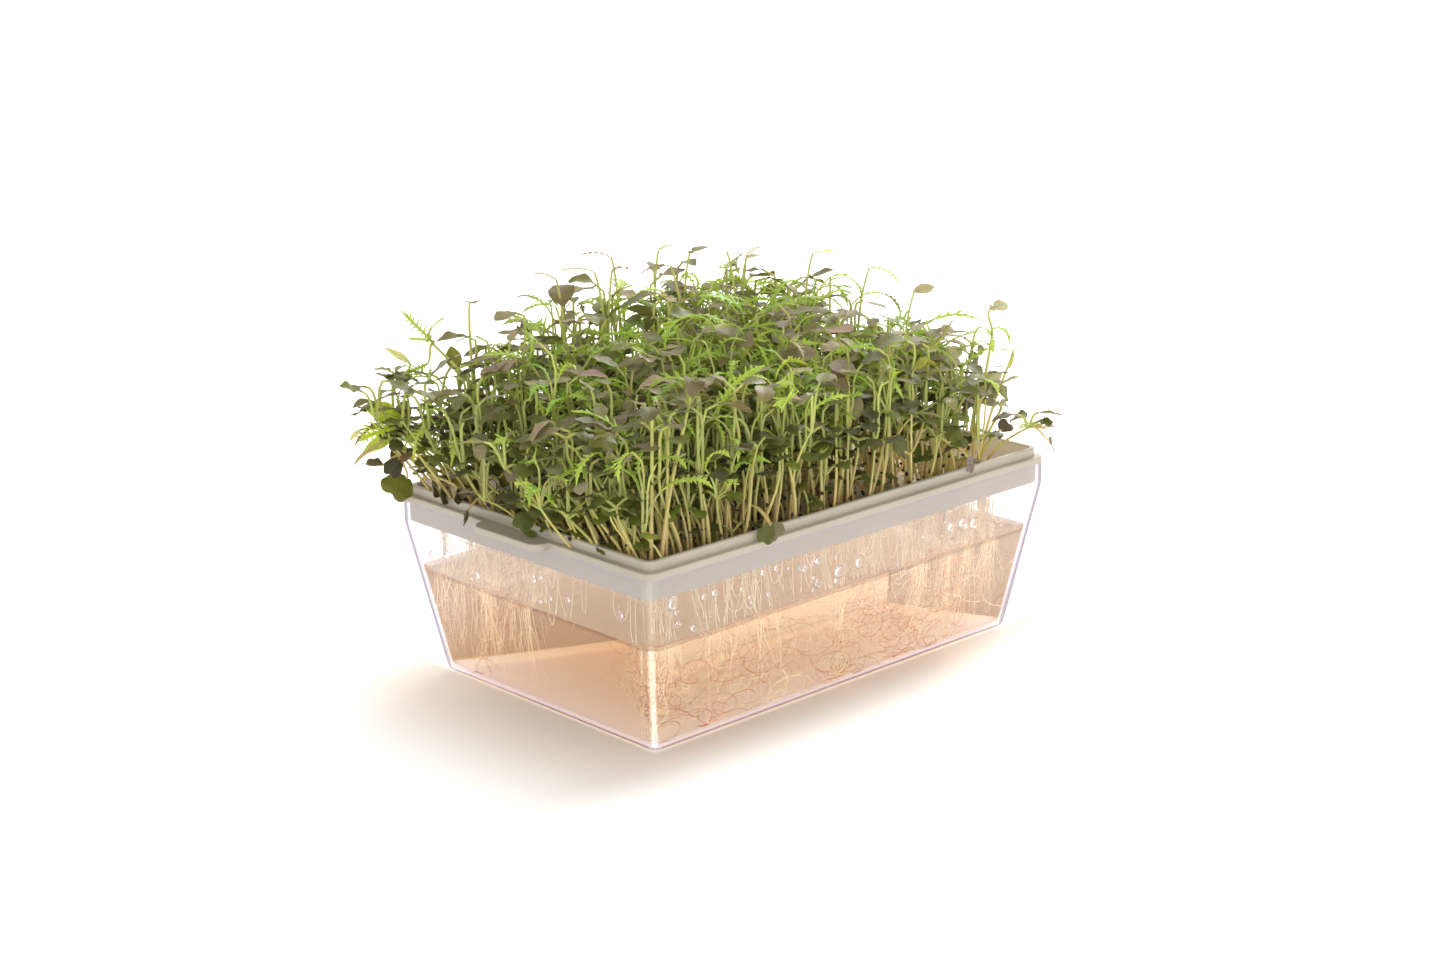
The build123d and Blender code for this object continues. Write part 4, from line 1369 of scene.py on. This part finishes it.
def build_placed_plants():
    rng = np.random.default_rng(515)
    nodes = build_placed_stems(rng)
    for (shape, pattern, at, forward, length, facing, width, droop, cup,
         top, *under) in PLACED_LEAVES:
        library, kind = SHAPES[shape]
        at, forward = np.array(at, float), np.array(forward, float)
        forward /= np.linalg.norm(forward)
        plants = group(kind, at[1])
        path = stalk_path(at, forward, nodes)
        points, faces = tube(path, np.linspace(0.66, 0.46, len(path)), 6)
        colour = stem_colour(points[:, 2], SEED_TOP, 130.0, pink=0.1, gain=0.98)
        plants.add(points, faces, STEM, colour)
        points, faces, leaf = place_leaf(library[pattern], rng, at, forward, FACING[facing],
                                         length, width=width, droop=droop, cup=cup,
                                         wave=0.2, twist=0.1)
        # the pale broad leaves that hang out at the -X end get painted backlight: their colour is
        # raised 2.1 times, the others 1.2 times
        bright = top[1] > 140 and at[0] < -105 and at[2] < 125 and shape == "broad"
        colour = leaf_colours(leaf, linear(*top), linear(*(under[0] if under else top)))
        colour = np.minimum(colour * (2.1 if bright else 1.2), 0.9)
        plants.add(points, faces, BLADE, colour, leaf)


build_placed_plants()

# axis, low limit, high limit, how far points may pass a limit
CROP_ROOM = ((0, -138.0, 124.0, 16.0), (1, -82.0, 82.0, 10.0), (2, -1e9, 166.0, 11.0))


def squeeze(plants):
    """Draws the outermost points softly back towards the room of the crop."""
    for points in plants.points:
        for axis, low, high, give in CROP_ROOM:
            line = points[:, axis]
            over = line > high
            line[over] = high + give * np.tanh((line[over] - high) / give * 0.8)
            short = line < low
            line[short] = low - give * np.tanh((low - line[short]) / give * 0.8)


for plants in groups.values():
    squeeze(plants)
for (kind, row), plants in groups.items():
    made = plants.build(f"{kind}_plants_row_{row + 1}", [LEAF_MATERIAL[kind], STEM_MATERIAL],
                        sharp=42)
    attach(made, "tray")
    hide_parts(f"{kind}_seedlings_row_{row + 1}")


def build_hulls():
    """Hulls lying on the bed, joined to those caught on the stems."""
    rng = np.random.default_rng(909)
    dark, brown, straw = linear(46, 34, 26), linear(96, 66, 46), linear(196, 172, 120)
    for _ in range(1100):
        x, y = rng.uniform(-BED_X + 2, BED_X - 2), rng.uniform(-BED_Y + 2, BED_Y - 2)
        centre = np.array([x, y, SEED_TOP + 0.35 + rng.uniform(0, 0.8)])
        half_axes = (rng.uniform(0.95, 1.35), rng.uniform(0.75, 1.0), rng.uniform(0.55, 0.9))
        points, faces = hull_bead(centre, half_axes, random_rotation(rng))
        shade = dark if rng.uniform() < 0.72 else (brown if rng.uniform() < 0.6 else straw)
        hulls.add(points, faces, 0, vary(shade, rng, 0.25))
    made = hulls.build("seed_hulls", [HULL_MATERIAL])
    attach(made, "tray")


build_hulls()

# ---------------------------------------------------------------- roots
ROOT_CREAM = linear(250, 238, 214)
ROOT_TAN = linear(208, 150, 92)
ROOT_TOP = UNDER - 0.3
# distance in from the -X edge of the bed, y
END_BUNCHES = ((5.0, 62.0), (8.0, 52.0), (6.0, 41.0), (10.0, 30.0), (7.0, 18.0), (12.0, 6.0))
# x, distance in from the -Y edge of the bed
SIDE_BUNCHES = ((48.0, 9.0), (60.0, 5.0), (69.0, 12.0), (78.0, 5.0), (90.0, 8.0), (100.0, 16.0))


def keep_in_tub(x, y, z, gap_y=1.0):
    half_x, half_y = inner_half(z)
    return (np.clip(x, -half_x + 1.0, half_x - 1.0),
            np.clip(y, -half_y + gap_y, half_y - gap_y))


def add_bunches(parts, rng):
    """Hanging bunches. Returns tips in the solution, each with whether its bunch is thin."""
    dense = [(-BED_X + gap, y) for gap, y in END_BUNCHES]
    dense += [(x, -BED_Y + gap) for x, gap in SIDE_BUNCHES]
    share = np.linspace(0, 1, 16)
    tips = []
    for k in range(44):
        thick = k < len(dense)
        if thick:
            centre = dense[k][0] + rng.normal(0, 1.5), dense[k][1] + rng.normal(0, 1.5)
        else:
            x, y = rng.uniform(-BED_X + 6, BED_X - 30), rng.uniform(-BED_Y + 6, BED_Y - 6)
            if rng.uniform() < 0.7:
                y = -BED_Y + 3 + abs(rng.normal(0, 8))
            centre = x, y
        deep = rng.uniform(8, 34)
        strands = rng.integers(17, 27) if thick else rng.integers(4, 10)
        spread = rng.uniform(4.5, 8.0) if k < len(END_BUNCHES) else rng.uniform(2.5, 6.0)
        sway = rng.normal(0, 7.0, 2)
        for _ in range(strands):
            z_end = np.clip(deep + rng.normal(0, 10), 5.0, 52.0)
            z = ROOT_TOP + (z_end - UNDER) * share
            phase = rng.uniform(0, 6.28, 4)
            swing = rng.uniform(0.4, 1.6)
            drift = []
            for axis in (0, 1):
                away = (sway[axis] + rng.normal(0, spread)) * share ** 1.5
                wave = np.sin(phase[axis] + share * rng.uniform(6, 16)) - math.sin(phase[axis])
                drift.append(away + swing * wave * share ** 0.7)
            x = centre[0] + rng.normal(0, 1.0) + drift[0]
            y = centre[1] + rng.normal(0, 1.0) + drift[1]
            x, y = keep_in_tub(x, y, z)
            radius = rng.uniform(0.10, 0.21) * (1.15 if thick else 1.0)
            points, faces = tube(np.column_stack([x, y, z]),
                                 radius * np.linspace(1.15, 0.5, len(share)), 4)
            parts[k % 4].add(points, faces, 0, vary(ROOT_CREAM, rng, 0.06))
            if z[-1] < LEVEL - 4.0:
                tips.append(((x[-1], y[-1], z[-1]), not thick))
    return tips


def add_loops(parts, rng):
    """Roots by the -Y and -X walls that hang in a loop from the tray."""
    share = np.linspace(0, 1, 15)
    half_x, half_y = inner_half(LEVEL + 8.0)
    for k in range(44):
        if k < 29:
            x = rng.uniform(-half_x + 12, half_x - 12)
            y = -half_y + abs(rng.normal(0, 7)) + 2.5
            along = (1.0, rng.normal(0, 0.3))
        else:
            x = -half_x + abs(rng.normal(0, 7)) + 2.5
            y = rng.uniform(-half_y + 12, half_y - 12)
            along = (rng.normal(0, 0.3), 1.0)
        wide = rng.uniform(3, 9)
        drop = rng.uniform(6, UNDER - LEVEL + 5)
        swell = 1 + 0.5 * np.sin(math.pi * share)
        x = x + along[0] * wide * (share - 0.5) * swell + 0.6 * np.sin(7 * share + k)
        y = y + along[1] * wide * (share - 0.5) * swell + 0.4 * np.sin(5 * share + k)
        z = ROOT_TOP - drop * np.sin(math.pi * share) ** 0.7
        x, y = keep_in_tub(x, y, LEVEL)
        points, faces = tube(np.column_stack([x, y, z]), rng.uniform(0.12, 0.26), 6)
        parts[k % 4].add(points, faces, 0, vary(ROOT_CREAM, rng, 0.04))


def add_tangle(parts, rng, tips):
    """Mat of fine strands that curl away from the tips, mostly those of thin bunches."""
    every_tip = [tip for tip, _ in tips]
    thin_tips = [tip for tip, thin in tips if thin]
    count = 26
    share = np.linspace(0, 1, count)
    for k in range(430):
        pool = thin_tips if k % 5 else every_tip
        start = pool[rng.integers(len(pool))]
        turn = rng.uniform(2.0, 9.0) * rng.choice((-1, 1))
        radius = rng.uniform(3, 13)
        phase = rng.uniform(0, 6.28)
        angle = phase + turn * share
        reach = radius * (0.3 + 0.7 * share)
        x = reach * np.cos(angle) * rng.uniform(0.8, 1.5) + rng.normal(0, 12) * share
        z = reach * np.sin(angle) * rng.uniform(0.4, 1.0) + rng.normal(2, 8) * share
        y = rng.uniform(-5, 5) * share + 1.2 * np.sin(9 * share + phase)
        x, y, z = x - x[0] + start[0], y - y[0] + start[1], z - z[0] + start[2]
        lowest = FLOOR + 1.2 + 0.5 * np.sin(0.6 * np.arange(count) + phase)
        z = np.clip(z, lowest, LEVEL - 2.0)
        x, y = keep_in_tub(x, y, z, gap_y=0.8)
        points, faces = tube(np.column_stack([x, y, z]),
                             rng.uniform(0.09, 0.20) * np.linspace(1.0, 0.6, count), 4)
        shade = ROOT_TAN if rng.uniform() < 0.55 else ROOT_CREAM
        parts[k % 4].add(points, faces, 0, vary(shade, rng, 0.10))


def build_roots():
    rng = np.random.default_rng(31)
    parts = [Triangles() for _ in range(4)]
    tips = add_bunches(parts, rng)
    add_loops(parts, rng)
    add_tangle(parts, rng, tips)
    for k, part in enumerate(parts):
        made = part.build(f"roots_{k + 1}", [ROOT_MATERIAL])
        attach(made, "tray")
        if k == 0:
            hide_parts("root_tufts")


build_roots()


# ---------------------------------------------------------------- stage, light, camera
def paper_material():
    """Paper with a painted warm shade close to the base and painted light that grows away from it."""
    base_x, base_y = (HALF_X - INSET) * MM, (HALF_Y - INSET) * MM
    # painted warm shade: near tints the paper close to the base, for its shadow warmed by light through
    # the solution; far is the paper's own colour
    near, far = (0.95, 0.855, 0.775), (0.95, 0.945, 0.94)
    graph = new_graph("floor_paper")
    place = graph.position()
    fibre = graph.mix(graph.noise(place, scale=3.0), grey(0.99), grey(1.0))
    x, y, _ = graph.split(place)
    # distance from the base, counted 2.4 times along Y so the painted shade stays narrower on the long
    # sides
    gap_x = graph.most(graph.sub(graph.size(x), base_x), 0.0)
    gap_y = graph.mul(graph.most(graph.sub(graph.size(y), base_y), 0.0), 2.4)
    away = graph.calc("SQRT", graph.add(graph.mul(gap_x, gap_x), graph.mul(gap_y, gap_y)))
    colour = graph.mix(graph.ramp(away, from_min=0.0, from_max=0.13, smooth=True), near, far)
    # painted light: emission rises from none at the base to 0.6 about 125 mm away, so the paper is
    # shaded close in and white beyond
    painted_glow = graph.ramp(away, from_min=0.0, from_max=0.125, to_max=0.60, smooth=True)
    sheet = graph.out("BsdfPrincipled", {
        "Roughness": 0.8, "Specular IOR Level": 0.2, "Base Color": graph.times(colour, fibre),
        "Emission Color": (1.0, 0.985, 0.97), "Emission Strength": painted_glow})
    # painted pool of light: an emission on the paper beneath the base, fading past its edges, stands
    # for light led down through the solution
    under = graph.ramp(x, from_min=base_x + 0.020, from_max=base_x + 0.001, smooth=True)
    for value, start, end in ((y, base_y + 0.020, base_y + 0.001),
                              (x, -base_x, -base_x + 0.006), (y, -base_y, -base_y + 0.006)):
        fade = graph.ramp(value, from_min=start, from_max=end, smooth=True)
        under = graph.mul(under, fade)
    painted_light_pool = graph.out("Emission", {"Color": (1.0, 0.92, 0.72), "Strength": graph.mul(under, 0.90)})
    return graph.finish(graph.out("AddShader", {0: sheet, 1: painted_light_pool}))


def build_floor():
    bpy.ops.mesh.primitive_plane_add(size=8.0, location=(0, 0, -0.0004))
    floor = bpy.context.object
    floor.name = "floor"
    floor.data.materials.append(paper_material())


def build_world():
    """White backdrop as seen. The light it sheds is dimmer overhead."""
    backdrop, through_gain = 1.02, 0.04
    # share of the way up, grey or near-grey light
    stops = ((0.0, (1.35, 1.34, 1.32)), (0.35, (1.10, 1.09, 1.07)), (0.8, grey(0.62)),
             (1.0, grey(0.5)))
    world = bpy.data.worlds.new("studio")
    bpy.context.scene.world = world
    graph = Graph(world, "OutputWorld")
    light = graph.node("LightPath").outputs
    seen = graph.node("Background", {"Color": grey(1), "Strength": backdrop})
    gain = graph.mul(light["Is Transmission Ray"], through_gain)
    graph.put(seen.inputs["Strength"], graph.add(backdrop, gain))
    height = graph.split(graph.out("TexCoord", pick="Generated"))[2]
    shades = graph.node("ValToRGB", {"Fac": height})
    elements = shades.color_ramp.elements
    while len(elements) > 1:
        elements.remove(elements[-1])
    elements[0].position, elements[0].color = stops[0][0], (*stops[0][1], 1)
    for place, colour in stops[1:]:
        elements.new(place).color = (*colour, 1)
    shed = graph.out("Background", {"Color": shades.outputs["Color"], "Strength": 1.0})
    direct = graph.most(light["Is Camera Ray"],
                        graph.most(light["Is Transmission Ray"], light["Is Glossy Ray"]))
    graph.finish(graph.blend(direct, shed, seen.outputs[0]))


def area_light(name, *, place, target, size, power, colour):
    data = bpy.data.lights.new(name, "AREA")
    data.shape = "RECTANGLE"
    data.size, data.size_y = size
    data.energy = power
    data.color = colour
    lamp = bpy.data.objects.new(name, data)
    bpy.context.scene.collection.objects.link(lamp)
    lamp.location = place
    aim = Vector(target) - Vector(place)
    lamp.rotation_euler = aim.to_track_quat("-Z", "Y").to_euler()


def build_camera():
    data = bpy.data.cameras.new("camera")
    data.lens = 62.62
    data.sensor_width = 36.0
    data.sensor_fit = "HORIZONTAL"
    data.clip_start, data.clip_end = 0.02, 30.0
    camera = bpy.data.objects.new("camera", data)
    bpy.context.scene.collection.objects.link(camera)
    pose = Matrix((CAM_RIGHT, CAM_UP, CAM_BACK)).transposed().to_4x4()
    pose.translation = CAM_PLACE
    camera.matrix_world = pose
    bpy.context.scene.camera = camera


def set_render():
    scene = bpy.context.scene
    scene.view_settings.view_transform = "Standard"
    scene.view_settings.look = "None"
    scene.view_settings.exposure = 0.0
    scene.cycles.max_bounces = 20
    scene.cycles.transmission_bounces = 18
    scene.cycles.transparent_max_bounces = 16
    scene.cycles.caustics_refractive = False
    scene.cycles.caustics_reflective = False
    scene.cycles.blur_glossy = 0.6
    scene.cycles.sample_clamp_indirect = 6.0


build_floor()
build_world()
area_light("key_back", place=(1.05, 0.38, 0.85), target=(0, 0, 0.06), size=(0.8, 0.6),
           power=16.0, colour=(1.0, 0.985, 0.96))
area_light("fill_front", place=(-1.0, -1.5, 0.5), target=(0, 0, 0.08), size=(1.4, 0.8),
           power=9.0, colour=(1.0, 0.99, 0.97))
build_camera()
set_render()
